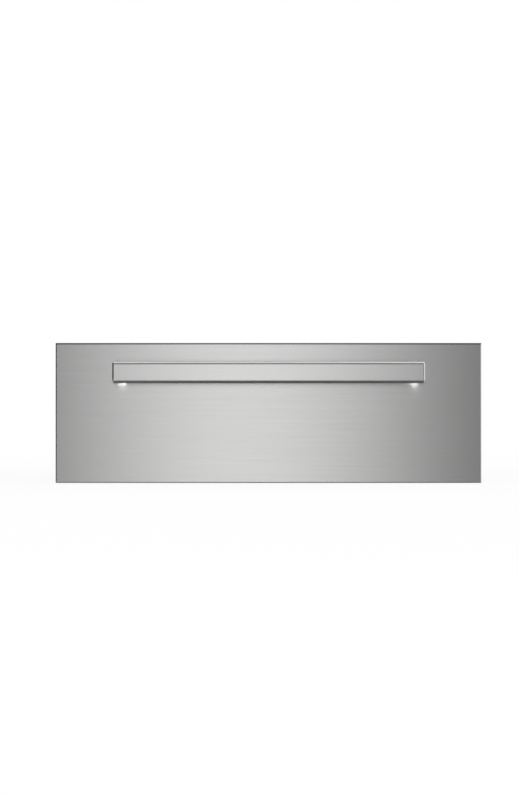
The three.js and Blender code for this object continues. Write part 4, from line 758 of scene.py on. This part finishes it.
def turned(middle, profile, steps=32, axis="y", wobble=None):
    """Rows of a profile of (radius, place) pairs carried round a line along the axis through
    middle: middle + radius w(a) (cos a, sin a), where the wobble w is each row's own outline."""
    radius, place = np.array(profile, dtype=float).T[:, :, None]
    angle = np.linspace(0, 2 * np.pi, steps, endpoint=False)[None]
    radius = radius * (np.ones((len(profile), steps)) if wobble is None else wobble)
    columns = [radius * np.cos(angle), radius * np.sin(angle)]
    columns.insert("xyz".index(axis), place + 0 * angle)
    return np.stack(columns, axis=2) + np.array(middle)


tip_profile = [(2.2, 0), (3.1, 0.25), (3.5, 1), (3.5, 7.5), (3.2, 8.4), (2.5, 8.6)]
tips = [surface(turned((x, y, floor_top + 0.1), tip_profile, 20, "z")) for x, y in foot_places]
make_piece("rack_foot_tips", tips, seal_silicone, "drawer")


# ---------------------------------------------------------------- ball bearing slides
# Rolled steel members, zinc plated, three to a side. Between them two rows of hardened balls run
# in a thin cage, whose legs are pierced and pinched round each ball.

slide_zinc = zinc_plating("slide_zinc", (0.47, 0.49, 0.52), (0.60, 0.62, 0.64), 0.34)
for hand in ("left", "right"):
    for member in ("outer", "middle", "drawer"):
        finish_nodes(slide_zinc, f"{hand}_{member}_member")

ball_steel = polished_metal("ball_steel", (0.66, 0.67, 0.68), (0.74, 0.75, 0.76), 0.07)
cage_steel = zinc_plating("cage_steel", (0.52, 0.53, 0.54), (0.66, 0.67, 0.68), 0.26)
balls_a_row = 5
cage_sheet = 0.6


def cage_strip(low, high, inner, outer, sheet, window=3.2):
    """Closed bent strip of a cage: its section, a channel with its legs turned to the drawer side,
    is carried along Y, and both ends narrow like a tongue by window (1 - sqrt(1 - t^2))."""
    middle, half = (low[2] + high[2]) / 2, (high[2] - low[2]) / 2
    bend = np.radians(np.linspace(0, 90, 4))
    radii = [(sheet * 1.6, 0.0), (sheet * 0.6, sheet)]
    turn = np.sign(outer - inner)
    edges = []
    for radius, shift in radii:
        web, top = outer - turn * shift, half - shift
        round_x = web - turn * radius * (1 - np.sin(bend[::-1]))
        round_z = top - radius * (1 - np.cos(bend[::-1]))
        edges.append(np.stack([np.append(round_x, inner), np.append(round_z, top)], axis=1))
    upper = [np.concatenate([edge[:0:-1], edge[:1]]) for edge in edges]
    shape = np.concatenate([upper[0], upper[0][::-1] * [1, -1], upper[1] * [1, -1], upper[1][::-1]])
    t = np.linspace(1, 0, 7)
    tongue = window * (1 - np.sqrt(1 - t**2))
    reach = window * (1 - t)
    stations = np.concatenate([low[1] + reach, (high[1] - reach)[::-1]])
    narrow = np.concatenate([tongue, tongue[::-1]])
    grid = np.empty((len(stations), len(shape), 3))
    grid[..., 0] = shape[:, 0]
    grid[..., 1] = stations[:, None]
    grid[..., 2] = middle + shape[:, 1] * (1 - narrow[:, None] / half)
    return grid


for hand in ("left", "right"):
    for run, ball in (("outer", 3.6), ("inner", 3.2)):
        node = f"{hand}_{run}_ball_cage"
        low, high = box_of(node)
        sign = -1 if hand == "left" else 1
        near, far = (low[0], high[0]) if sign > 0 else (high[0], low[0])
        ball_high = (high[2] - low[2]) / 2 - cage_sheet / 2
        places = np.linspace(low[1] + ball, high[1] - ball, balls_a_row)
        middle = (low[2] + high[2]) / 2
        body = f"{hand}_{run}_cage"
        cage = [surface(cage_strip(low, high, near, far, cage_sheet))]
        make_piece(f"{hand}_{run}_cage", cage, cage_steel, body, [node])
        balls = [
            weld_bead((near + sign * ball / 2, y, middle + way * ball_high), (ball / 2,) * 3, 16)
            for y in places
            for way in (-1, 1)
        ]
        make_piece(f"{hand}_{run}_balls", balls, ball_steel, body)


# ---------------------------------------------------------------- chassis sheets and rails
# The chassis is folded from hot dip galvanised sheet, 1 mm thick, spot welded and screwed. The two
# rails across the opening are stainless, because they show when the drawer is out.


def galvanised(name, dark, light):
    """Zinc spangle: crystals of some 5 mm, each with its own tone and gloss, with frosted edges."""
    material, nodes, link, shader = node_graph(name)
    place = nodes.new("ShaderNodeTexCoord")
    drift = nodes.new("ShaderNodeTexNoise")
    drift.inputs["Scale"].default_value = 55
    link(place.outputs["Object"], drift.inputs["Vector"])
    shifted = nodes.new("ShaderNodeVectorMath")
    shifted.operation = "MULTIPLY_ADD"
    shifted.inputs[1].default_value = (0.004, 0.004, 0.004)
    link(drift.outputs["Color"], shifted.inputs[0])
    link(place.outputs["Object"], shifted.inputs[2])
    crystals = nodes.new("ShaderNodeTexVoronoi")
    crystals.inputs["Scale"].default_value = 210
    link(shifted.outputs[0], crystals.inputs["Vector"])
    tone = nodes.new("ShaderNodeSeparateColor")
    link(crystals.outputs["Color"], tone.inputs[0])
    frost = fine_noise(nodes, link, (700, 700, 700), detail=3)
    frosted = worked_out(nodes, link, "MULTIPLY", frost, 0.3)
    both = worked_out(nodes, link, "ADD", tone.outputs[0], frosted)
    link(two_tones(nodes, link, both, dark, light, 0.1, 1.2), shader.inputs["Base Color"])
    gloss = spread_between(nodes, link, tone.outputs[1], 0.36, 0.52, 0.0, 1.0)
    link(gloss, shader.inputs["Roughness"])
    shader.inputs["Metallic"].default_value = 0.85
    raised(nodes, link, shader, both, 0.1, 0.0001)
    return material


spangled = galvanised("zinc_spangle", (0.52, 0.54, 0.56), (0.62, 0.64, 0.66))
finish_nodes(
    spangled,
    "base_pan",
    "back_panel",
    "top_cover",
    "junction_cover",
    "cavity_ceiling",
    "left_side_panel",
    "right_side_panel",
    "left_mounting_flange",
    "right_mounting_flange",
)
finish_nodes(sheet_steel, "control_rail", "bottom_rail")


# ---------------------------------------------------------------- chassis insulation
# Two batts of mineral wool keep the cabinet cool, one on the base under the reflector and one on
# the ceiling of the heated space. They lie loose and settle a little between the sheets.

for name, node in (("base_batt", "base_insulation"), ("ceiling_batt", "ceiling_insulation")):
    low, high = box_of(node)
    slab = surface(batt_shape(low, high, thin=2, lump=2.4))
    loose = make_piece(name, [slab], wool, "chassis", [node])


# ---------------------------------------------------------------- heat
# A sheathed element lies in open saddles over a bright stainless tray. Its ends pass through an
# upright plate at the rear, where ceramic bushes carry the connections.

finish_nodes(satin_steel("bright_tray", "x", (0.68, 0.68, 0.67), 0.2), "heat_reflector")
finish_nodes(zinc, "element_terminal_plate")


def heated_sheath(name):
    """Oxidised nickel steel: blue, straw and brown heat tints in long soft patches, dull."""
    material, nodes, link, shader = node_graph(name)
    tints = fine_noise(nodes, link, (9, 6, 30), detail=5, rough=0.6)
    grain = fine_noise(nodes, link, (1200, 1200, 1200), detail=2)
    colour = nodes.new("ShaderNodeValToRGB")
    stops = [
        (0.30, (0.045, 0.048, 0.06)),
        (0.45, (0.10, 0.095, 0.09)),
        (0.58, (0.16, 0.12, 0.08)),
        (0.72, (0.07, 0.08, 0.11)),
    ]
    for at, _ in stops[1:3]:
        colour.color_ramp.elements.new(at)
    for element, (at, tone) in zip(colour.color_ramp.elements, stops):
        element.position, element.color = at, (*tone, 1)
    link(tints, colour.inputs["Fac"])
    link(colour.outputs["Color"], shader.inputs["Base Color"])
    link(spread_between(nodes, link, tints, 0.38, 0.62), shader.inputs["Roughness"])
    shader.inputs["Metallic"].default_value = 0.8
    raised(nodes, link, shader, grain, 0.25, 0.00008)
    return material


def bent_path(corners, radius, level, steps=10):
    """Points of a level path: at each corner p between directions a and b, an arc about
    p - a r tan(h) + r n, where h is half the turn and n the normal towards the inside."""
    corners = np.array(corners, dtype=float)
    points = [corners[:1]]
    for before, corner, after in zip(corners, corners[1:], corners[2:]):
        a, b = corner - before, after - corner
        a, b = a / np.linalg.norm(a), b / np.linalg.norm(b)
        turn = np.arctan2(a[0] * b[1] - a[1] * b[0], a @ b)
        inward = np.array([-a[1], a[0]]) * np.sign(turn)
        centre = corner - a * radius * np.tan(abs(turn) / 2) + inward * radius
        swing = np.linspace(0, turn, steps)[:, None]
        arm = -inward * radius
        points.append(centre + arm * np.cos(swing) + np.array([-arm[1], arm[0]]) * np.sin(swing))
    points.append(corners[-1:])
    return np.insert(np.concatenate(points), 2, level, axis=1)


low, high = box_of("heating_element")
tube = (high[2] - low[2]) / 2
bend = 30.0
outer_run, tail = high[0] - tube, 25.0
inner_run = outer_run / 3
rear, front = high[1], low[1] + tube
turn_back = rear - 2.5 * bend
half_way = [(tail, rear), (tail, turn_back), (outer_run, turn_back), (outer_run, front)]
half_way += [(inner_run, front), (inner_run, turn_back - 3 * bend)]
level = (low[2] + high[2]) / 2
route = bent_path(half_way + [(-x, y) for x, y in half_way[::-1]], bend, level)
element = [wire(route, tube, steps=20)]
sheath = heated_sheath("heat_tinted_sheath")
make_piece("element_tube", element, sheath, "chassis", ["heating_element"])


def fired_ceramic(name, dark, light):
    """Unglazed steatite: chalky, with fine darker specks."""
    material, nodes, link, shader = node_graph(name)
    specks = fine_noise(nodes, link, (1500, 1500, 1500), detail=2)
    stain = fine_noise(nodes, link, (60, 60, 60), detail=4)
    both = worked_out(nodes, link, "ADD", worked_out(nodes, link, "MULTIPLY", specks, 0.4), stain)
    link(two_tones(nodes, link, both, dark, light, 0.5, 0.8), shader.inputs["Base Color"])
    link(spread_between(nodes, link, stain, 0.55, 0.75), shader.inputs["Roughness"])
    raised(nodes, link, shader, specks, 0.2, 0.00008)
    return material


steatite = fired_ceramic("steatite", (0.60, 0.56, 0.49), (0.78, 0.75, 0.69))
for hand in ("left", "right"):
    finish_nodes(steatite, f"{hand}_outer_element_support", f"{hand}_inner_element_support")
bush = [(4.4, -4), (5.6, -3.6), (5.8, -1.2), (5.8, 2.4), (5.2, 3.6), (4.2, 4.0)]
plate_rear = box_of("element_terminal_plate")[1][1]
for hand, x in (("left", -tail), ("right", tail)):
    collar = surface(turned((x, plate_rear + 4.3, level), bush, 24))
    make_piece(f"{hand}_element_bush", [collar], steatite, "chassis")


# ---------------------------------------------------------------- sensing and wiring
# A probe and a disc thermostat stand on the ceiling under the top cover. The supply comes in
# through a moulded gland at the rear to a steatite terminal block under the raised plate.

finish_nodes(zinc, "temperature_sensor")
finish_nodes(steatite, "limit_thermostat", "terminal_block")


def moulded_plastic(name, dark, light, rough=(0.42, 0.56)):
    """Black moulded plastic with the fine spark texture of its tool."""
    material, nodes, link, shader = node_graph(name)
    texture = fine_noise(nodes, link, (2600, 2600, 2600), detail=2)
    cloud = fine_noise(nodes, link, (40, 40, 40), detail=3)
    link(two_tones(nodes, link, cloud, dark, light), shader.inputs["Base Color"])
    link(spread_between(nodes, link, texture, *rough), shader.inputs["Roughness"])
    raised(nodes, link, shader, texture, 0.35, 0.00006)
    return material


black = moulded_plastic("black_moulding", (0.018, 0.018, 0.019), (0.034, 0.034, 0.036))
finish_nodes(black, "heat_control", "control_housing")

low, high = box_of("cord_gland")
middle = (low + high) / 2
sheet_face = box_of("back_panel")[1][1]
collar, bore = (high[0] - low[0]) / 2, 4.5
rows = [
    (bore, low[1]),
    (9.2, low[1]),
    (9.5, low[1] + 0.4),
    (9.5, sheet_face + 0.3),
    (collar - 0.6, sheet_face + 0.3),
    (collar, sheet_face + 0.9),
    (collar, sheet_face + 4.0),
    (collar - 0.7, sheet_face + 4.7),
    (9.6, sheet_face + 5.0),
    (9.3, sheet_face + 6.0),
    (8.5, high[1] - 2.2),
    (7.6, high[1] - 0.6),
    (6.4, high[1]),
    (bore + 0.5, high[1]),
    (bore, high[1] - 0.5),
]
angle = np.linspace(0, 2 * np.pi, 72, endpoint=False)
ribs = 1 - 0.045 * (0.5 - 0.5 * np.cos(18 * angle)) ** 2
flats = np.cos(np.pi / 6) / np.cos((angle + np.pi / 6) % (np.pi / 3) - np.pi / 6)
outline = np.ones((len(rows), len(angle)))
outline[9:12] = ribs
outline[4:8] = 0.5 + 0.5 * flats
gland = turned((middle[0], 0, middle[2]), rows, len(angle), "y", outline)
shell = surface(gland, wrap_rows=True, capped=False)
make_piece("supply_gland", [shell], black, "chassis", ["cord_gland"])


# ---------------------------------------------------------------- controls
# They sit over the drawer opening behind the closed front, in a stainless fascia: a fluted knob
# for the heat, push buttons for power and time, and a red pilot lens. A board works behind them.

finish_nodes(satin_steel("fascia_steel", "x", (0.62, 0.62, 0.61), 0.3), "control_fascia")


def solder_mask(name):
    """Green lacquered board: tracks a little lighter, on a grid, under a glossy coat."""
    material, nodes, link, shader = node_graph(name)
    place = nodes.new("ShaderNodeTexCoord")
    tracks = nodes.new("ShaderNodeTexBrick")
    tracks.inputs["Scale"].default_value = 160
    tracks.inputs["Color1"].default_value = (0.012, 0.10, 0.035, 1)
    tracks.inputs["Color2"].default_value = (0.016, 0.12, 0.045, 1)
    tracks.inputs["Mortar"].default_value = (0.05, 0.24, 0.10, 1)
    link(place.outputs["Object"], tracks.inputs["Vector"])
    link(tracks.outputs["Color"], shader.inputs["Base Color"])
    lacquer = fine_noise(nodes, link, (200, 200, 200))
    link(spread_between(nodes, link, lacquer, 0.25, 0.4), shader.inputs["Roughness"])
    raised(nodes, link, shader, tracks.outputs["Fac"], 0.2, 0.00005)
    return material


finish_nodes(solder_mask("lacquered_board"), "control_board")

fascia_face = box_of("control_fascia")[0][1]
low, high = box_of("temperature_knob")
knob_middle = (low + high) / 2
skirt = (high[0] - low[0]) / 2
grip, knob_front, knob_back = 13.0, low[1] + 0.8, high[1]
skirt_face = knob_back - 2.5
knob_rows = [
    (0.4, knob_front + 0.5),
    (7.6, knob_front + 0.25),
    (9.8, knob_front),
    (11.2, knob_front + 0.1),
    (12.0, knob_front + 0.6),
    (12.5, knob_front + 1.5),
    (12.6, knob_front + 2.4),
    (grip, skirt_face - 1.0),
    (grip + 0.15, skirt_face - 0.3),
    (grip + 0.6, skirt_face),
    (skirt - 0.4, skirt_face),
    (skirt, skirt_face + 0.4),
    (skirt, knob_back),
    (3.3, knob_back),
]
angle = np.linspace(0, 2 * np.pi, 144, endpoint=False)
flute = 0.075 * (0.5 + 0.5 * np.cos(12 * (angle - np.pi / 12))) ** 6
outline = np.ones((len(knob_rows), len(angle)))
for row, share in ((4, 0.5), (5, 0.9), (6, 1.0), (7, 1.0), (8, 0.7)):
    outline[row] = 1 - share * flute
knob = turned((knob_middle[0], 0, knob_middle[2]), knob_rows, len(angle), "y", outline)
make_piece("heat_knob", [surface(knob)], black, "knob", ["temperature_knob"])


def printed_white(name):
    """White printing ink, slightly broken at its edges."""
    material, nodes, link, shader = node_graph(name)
    cover = fine_noise(nodes, link, (2400, 2400, 2400), detail=2)
    tone = two_tones(nodes, link, cover, (0.62, 0.62, 0.60), (0.80, 0.80, 0.78))
    link(tone, shader.inputs["Base Color"])
    link(spread_between(nodes, link, cover, 0.45, 0.6), shader.inputs["Roughness"])
    return material


def inked_shape(outline, face, rise):
    """A closed outline of (x, z) points raised off a face: one ring on it and one rise in front."""
    outline = np.array(outline, dtype=float)
    return surface(np.stack([np.insert(outline, 1, y, axis=1) for y in (face, face - rise)]))


def inked_ring(middle, radius, width, face, rise, gap=0.0, steps=40):
    """A flat ring, open over gap degrees at the top: a section of width by rise carried round."""
    swing = np.radians(np.linspace(90 + gap / 2, 450 - gap / 2, steps))[:, None]
    across = radius + np.array([-1, 1, 1, -1]) * width / 2
    x, z = middle[0] + np.cos(swing) * across, middle[1] + np.sin(swing) * across
    depth = face - rise * np.array([0, 0, 1, 1]) + 0 * swing
    return surface(np.stack([x, depth, z], axis=2), capped=gap > 0)


def clockwise(angle):
    """The direction (x, z) at an angle in degrees clockwise from the top."""
    return np.array([np.sin(np.radians(angle)), np.cos(np.radians(angle))])


def bar_outline(middle, angle, start, end, width):
    """Outline of a short bar that points away from middle at an angle in degrees from the top."""
    way = clockwise(angle)
    side = np.array([way[1], -way[0]]) * width / 2
    near, far = middle + way * start, middle + way * end
    return [near - side, near + side, far + side, far - side]


ink = printed_white("white_ink")
pointer = bar_outline(knob_middle[[0, 2]], 0, start=3.2, end=10.6, width=1.6)
pointer = inked_shape(pointer, knob_front + 0.3, rise=0.9)
make_piece("knob_pointer", [pointer], ink, "knob")
# Ten dots grow with the heat over the knob's turn.
knob_turn, scale_radius, first_dot, dot_growth = 270, 15.8, 0.45, 0.05
ring = np.radians(np.linspace(0, 360, 13)[:-1])
dot_outline = np.stack([np.cos(ring), np.sin(ring)], axis=1)
marks = []
for step, angle_at in enumerate(np.linspace(0, knob_turn, 10)):
    dot = first_dot + dot_growth * step
    centre = knob_middle[[0, 2]] + clockwise(angle_at) * scale_radius
    marks.append(inked_shape(centre + dot * dot_outline, fascia_face + 0.05, rise=0.1))
make_piece("heat_scale", marks, ink, "chassis")


def key_cap(node):
    """A push button: a dished cap with a rounded rim, a flange behind the fascia and a stem.
    Returns its surface, its middle and the depth of its face."""
    low, high = box_of(node)
    middle, flange = (low + high) / 2, (high[0] - low[0]) / 2
    cap, back = flange - 1.5, fascia_face + 1.3
    face = low[1]
    rows = [(0.3, face + 0.6), (2.0, face + 0.5), (3.8, face + 0.2), (cap - 1.0, face)]
    rows += [(cap - 0.45, face + 0.1), (cap - 0.12, face + 0.4), (cap, face + 0.9), (cap, back)]
    rows += [(flange, back), (flange, back + 1), (2.5, back + 1), (2.5, high[1])]
    return surface(turned((middle[0], 0, middle[2]), rows, 48)), middle, face


cap_dark, cap_light = (0.024, 0.024, 0.026), (0.036, 0.036, 0.038)
cap_black = moulded_plastic("key_moulding", cap_dark, cap_light, rough=(0.3, 0.4))
power_cap, middle, face = key_cap("power_button")
make_piece("power_cap", [power_cap], cap_black, "power_key", ["power_button"])
symbol = [inked_ring(middle[[0, 2]], 2.1, 0.45, face + 0.55, gap=70, rise=0.2)]
symbol.append(inked_shape(bar_outline(middle[[0, 2]], 0, 0.4, 2.7, 0.45), face + 0.55, rise=0.2))
make_piece("power_symbol", symbol, ink, "power_key")

timer_cap, middle, face = key_cap("timer_button")
make_piece("timer_cap", [timer_cap], cap_black, "timer_key", ["timer_button"])
symbol = [inked_ring(middle[[0, 2]], 2.4, 0.4, face + 0.5, rise=0.2)]
for hand_angle, length in ((0, 1.7), (100, 1.2)):
    clock_hand = bar_outline(middle[[0, 2]], hand_angle, -0.2, length, 0.4)
    symbol.append(inked_shape(clock_hand, face + 0.6, rise=0.2))
make_piece("timer_symbol", symbol, ink, "timer_key")


def pilot_lens(name):
    """Red acrylic: deep colour with painted highlights, paler where the ribs inside would catch the
    light, smooth outside.
    """
    material, nodes, link, shader = node_graph(name)
    ribs = fine_noise(nodes, link, (1400, 200, 1400), detail=2)
    # The paler tone is a painted highlight, laid where the inner ribs would catch the light.
    tone = two_tones(nodes, link, ribs, (0.30, 0.010, 0.006), (0.62, 0.05, 0.03))
    link(tone, shader.inputs["Base Color"])
    link(spread_between(nodes, link, ribs, 0.1, 0.2), shader.inputs["Roughness"])
    shader.inputs["Transmission Weight"].default_value = 0.35
    shader.inputs["Coat Weight"].default_value = 0.4
    return material


low, high = box_of("indicator_lens")
middle, flange = (low + high) / 2, (high[0] - low[0]) / 2
dome = np.radians(np.linspace(4, 90, 9))
lens_rows = [(4.0 * np.sin(a), fascia_face - 2.0 * np.cos(a)) for a in dome]
lens_rows += [(4.0, fascia_face + 1.3), (flange, fascia_face + 1.3), (flange, high[1])]
lens = surface(turned((middle[0], 0, middle[2]), lens_rows, 40))
red_acrylic = pilot_lens("red_acrylic")
make_piece("pilot_lens", [lens], red_acrylic, "chassis", ["indicator_lens"])


# ---------------------------------------------------------------- fasteners
# Hexagon washer head screws hold the chassis sheets. Pan heads with a cross recess hold the liner,
# the fascia, the junction cover, the brackets and the slides' drawer members. Blind rivets hold the
# outer members and close the drawer box. All are zinc plated steel.

turn_to = {
    "+x": lambda u, v, w: (w, u, v),
    "-x": lambda u, v, w: (-w, -u, v),
    "+y": lambda u, v, w: (-u, w, v),
    "-y": lambda u, v, w: (u, -w, v),
    "+z": lambda u, v, w: (u, v, w),
}


def head_shape(place, facing, rows, outline=None, steps=24):
    """A fastener's head: rows of (radius, height) pairs round a line, each with its own outline,
    turned so that its height runs along the way it faces."""
    grid = turned((0, 0, 0), rows, steps, "z", outline)
    columns = turn_to[facing](grid[..., 0], grid[..., 1], grid[..., 2])
    return surface(np.stack(columns, axis=2) + np.array(place))


def hexagon_head(place, facing):
    """Hexagon washer head, 6.4 across flats: its rows are as far out as 1 / cos of the angle from
    the middle of the nearest flat."""
    angle = np.linspace(0, 2 * np.pi, 24, endpoint=False)
    hexagon = 1 / np.cos((angle + np.pi / 6) % (np.pi / 3) - np.pi / 6)
    rows = [(4.4, 0), (4.5, 0.3), (4.3, 0.75), (3.2, 0.85), (3.2, 2.5), (2.8, 2.85)]
    rows += [(2.1, 2.85), (1.5, 2.3), (0.6, 2.2)]
    outline = np.ones((len(rows), len(angle)))
    outline[3:5] = hexagon
    return head_shape(place, facing, rows, outline)


def crossed_head(place, facing, radius=3.8, height=2.0):
    """Pan head. Its cross recess is the outline min(1 / larger, arm / smaller), where larger and
    smaller are the two of |cos| and |sin|, and arm is half the width of an arm of the cross."""
    arm = 0.26
    angle = np.linspace(0, 2 * np.pi, 32, endpoint=False)
    larger = np.maximum(abs(np.cos(angle)), abs(np.sin(angle)))
    smaller = np.minimum(abs(np.cos(angle)), abs(np.sin(angle)))
    cross = np.minimum(1.0 / larger, arm / np.maximum(smaller, 1e-6))
    shares = [(1, 0), (1, 0.4), (0.92, 0.75), (0.7, 0.97), (0.55, 1), (0.5, 1), (0.42, 0.35)]
    shares.append((0.2, 0.2))
    outline = np.ones((len(shares), len(angle)))
    outline[5:7] = cross
    rows = [(radius * across, height * up) for across, up in shares]
    return head_shape(place, facing, rows, outline, len(angle))


def rivet_head(place, facing, radius=3.2):
    """Blind rivet: a low dome with the snapped mandrel sunk in its middle."""
    shares = [(1, 0), (1, 0.25), (0.85, 0.75), (0.6, 1.05), (0.36, 1.1), (0.3, 0.6), (0.1, 0.7)]
    return head_shape(place, facing, [(radius * across, up) for across, up in shares])


def weld_mark(place, facing):
    """Spot weld: a shallow ring that the electrode leaves round a sunken middle."""
    return head_shape(place, facing, [(3.2, 0), (2.9, 0.16), (2.3, 0.18), (1.7, 0.06), (0.4, 0.04)])


wall_low, wall_high = box_of("right_side_panel")
top_high = box_of("top_cover")[1]
back_high = box_of("back_panel")[1]
flange_low = box_of("right_mounting_flange")[0]
member_low, member_high = box_of("right_outer_member")
member_web = member_low[2] / 2 + member_high[2] / 2
slide_front, slide_rear = (corner[1] for corner in box_of("right_middle_member"))
slide_inset = 0.08 * (slide_rear - slide_front)
slide_screws = [slide_front + slide_inset, (slide_front + slide_rear) / 2, slide_rear - slide_inset]
cover_low, cover_high = box_of("junction_cover")
cover_middle = (cover_low[1] + cover_high[1]) / 2
head_inset = 6.5  # from the edge of a sheet to its screws

chassis_heads, welds = [], []
for facing, side in (("-x", -1), ("+x", 1)):
    face = side * wall_high[0]
    for z in np.linspace(35, 200, 4):
        chassis_heads.append(hexagon_head((face, wall_high[1] - head_inset, z), facing))
        welds.append(weld_mark((face, flange_low[1] + 14.0, z), facing))
    for y in np.linspace(wall_low[1] + 30, wall_high[1] - 40, 5):
        welds.append(weld_mark((face, y, 7.5), facing))
        over_wall = side * (wall_high[0] - head_inset)
        chassis_heads.append(hexagon_head((over_wall, y, top_high[2]), "+z"))
    chassis_heads += [rivet_head((face, y, member_web), facing) for y in slide_screws]
for x in np.linspace(-250, 250, 3):
    chassis_heads.append(hexagon_head((x, back_high[1], 7.0), "+y"))
for x in (-340, -120, 120, 340):
    chassis_heads.append(hexagon_head((x, back_high[1], back_high[2] - 6.0), "+y"))
for x in (cover_low[0] + 4.5, cover_high[0] - 4.5):
    chassis_heads.append(crossed_head((x, cover_middle, cover_low[2] + 1.0), "+z"))
for side in (-1, 1):
    chassis_heads.append(crossed_head((side * 344, fascia_face, knob_middle[2]), "-y", 3.4))
make_piece("chassis_screws", chassis_heads, zinc, "chassis")
make_piece("chassis_welds", welds, spangled, "chassis")

liner_low, liner_high = box_of("front_liner")
box_low, box_high = box_of("drawer_right_wall")
bracket_rise = 100 / 3  # of its two screws from the middle of a bracket
drawer_heads, drawer_welds = [], []
for x in np.linspace(-345, 345, 5):
    for z in (liner_low[2] + 6, liner_high[2] - 6):
        drawer_heads.append(crossed_head((x, liner_high[1], z), "+y", 3.4))
for hand, facing, side in (("left", "-x", -1), ("right", "+x", 1)):
    bracket_low, bracket_high = box_of(f"{hand}_front_bracket")
    bracket_middle = (bracket_low + bracket_high) / 2
    web = box_of(f"{hand}_drawer_member")[0 if side > 0 else 1][0] + side * 1.2
    for way in (-1, 1):
        z = bracket_middle[2] + way * bracket_rise
        hole = side * (max(abs(bracket_low[0]), abs(bracket_high[0])) - 13)
        drawer_heads.append(crossed_head((hole, bracket_low[1] + 2, z), "+y"))
        drawer_heads.append(rivet_head((side * box_high[0], bracket_middle[1], z), facing))
    for y in (box_low[1] + 24, box_high[1] - 4):
        drawer_welds += [weld_mark((side * box_high[0], y, z), facing) for z in (60, 80, 150, 170)]
    drawer_heads += [crossed_head((web, y, member_web), facing, 3.4, 0.8) for y in slide_screws]
make_piece("drawer_screws", drawer_heads, zinc, "drawer")
make_piece("drawer_welds", drawer_welds, wall_steel, "drawer")
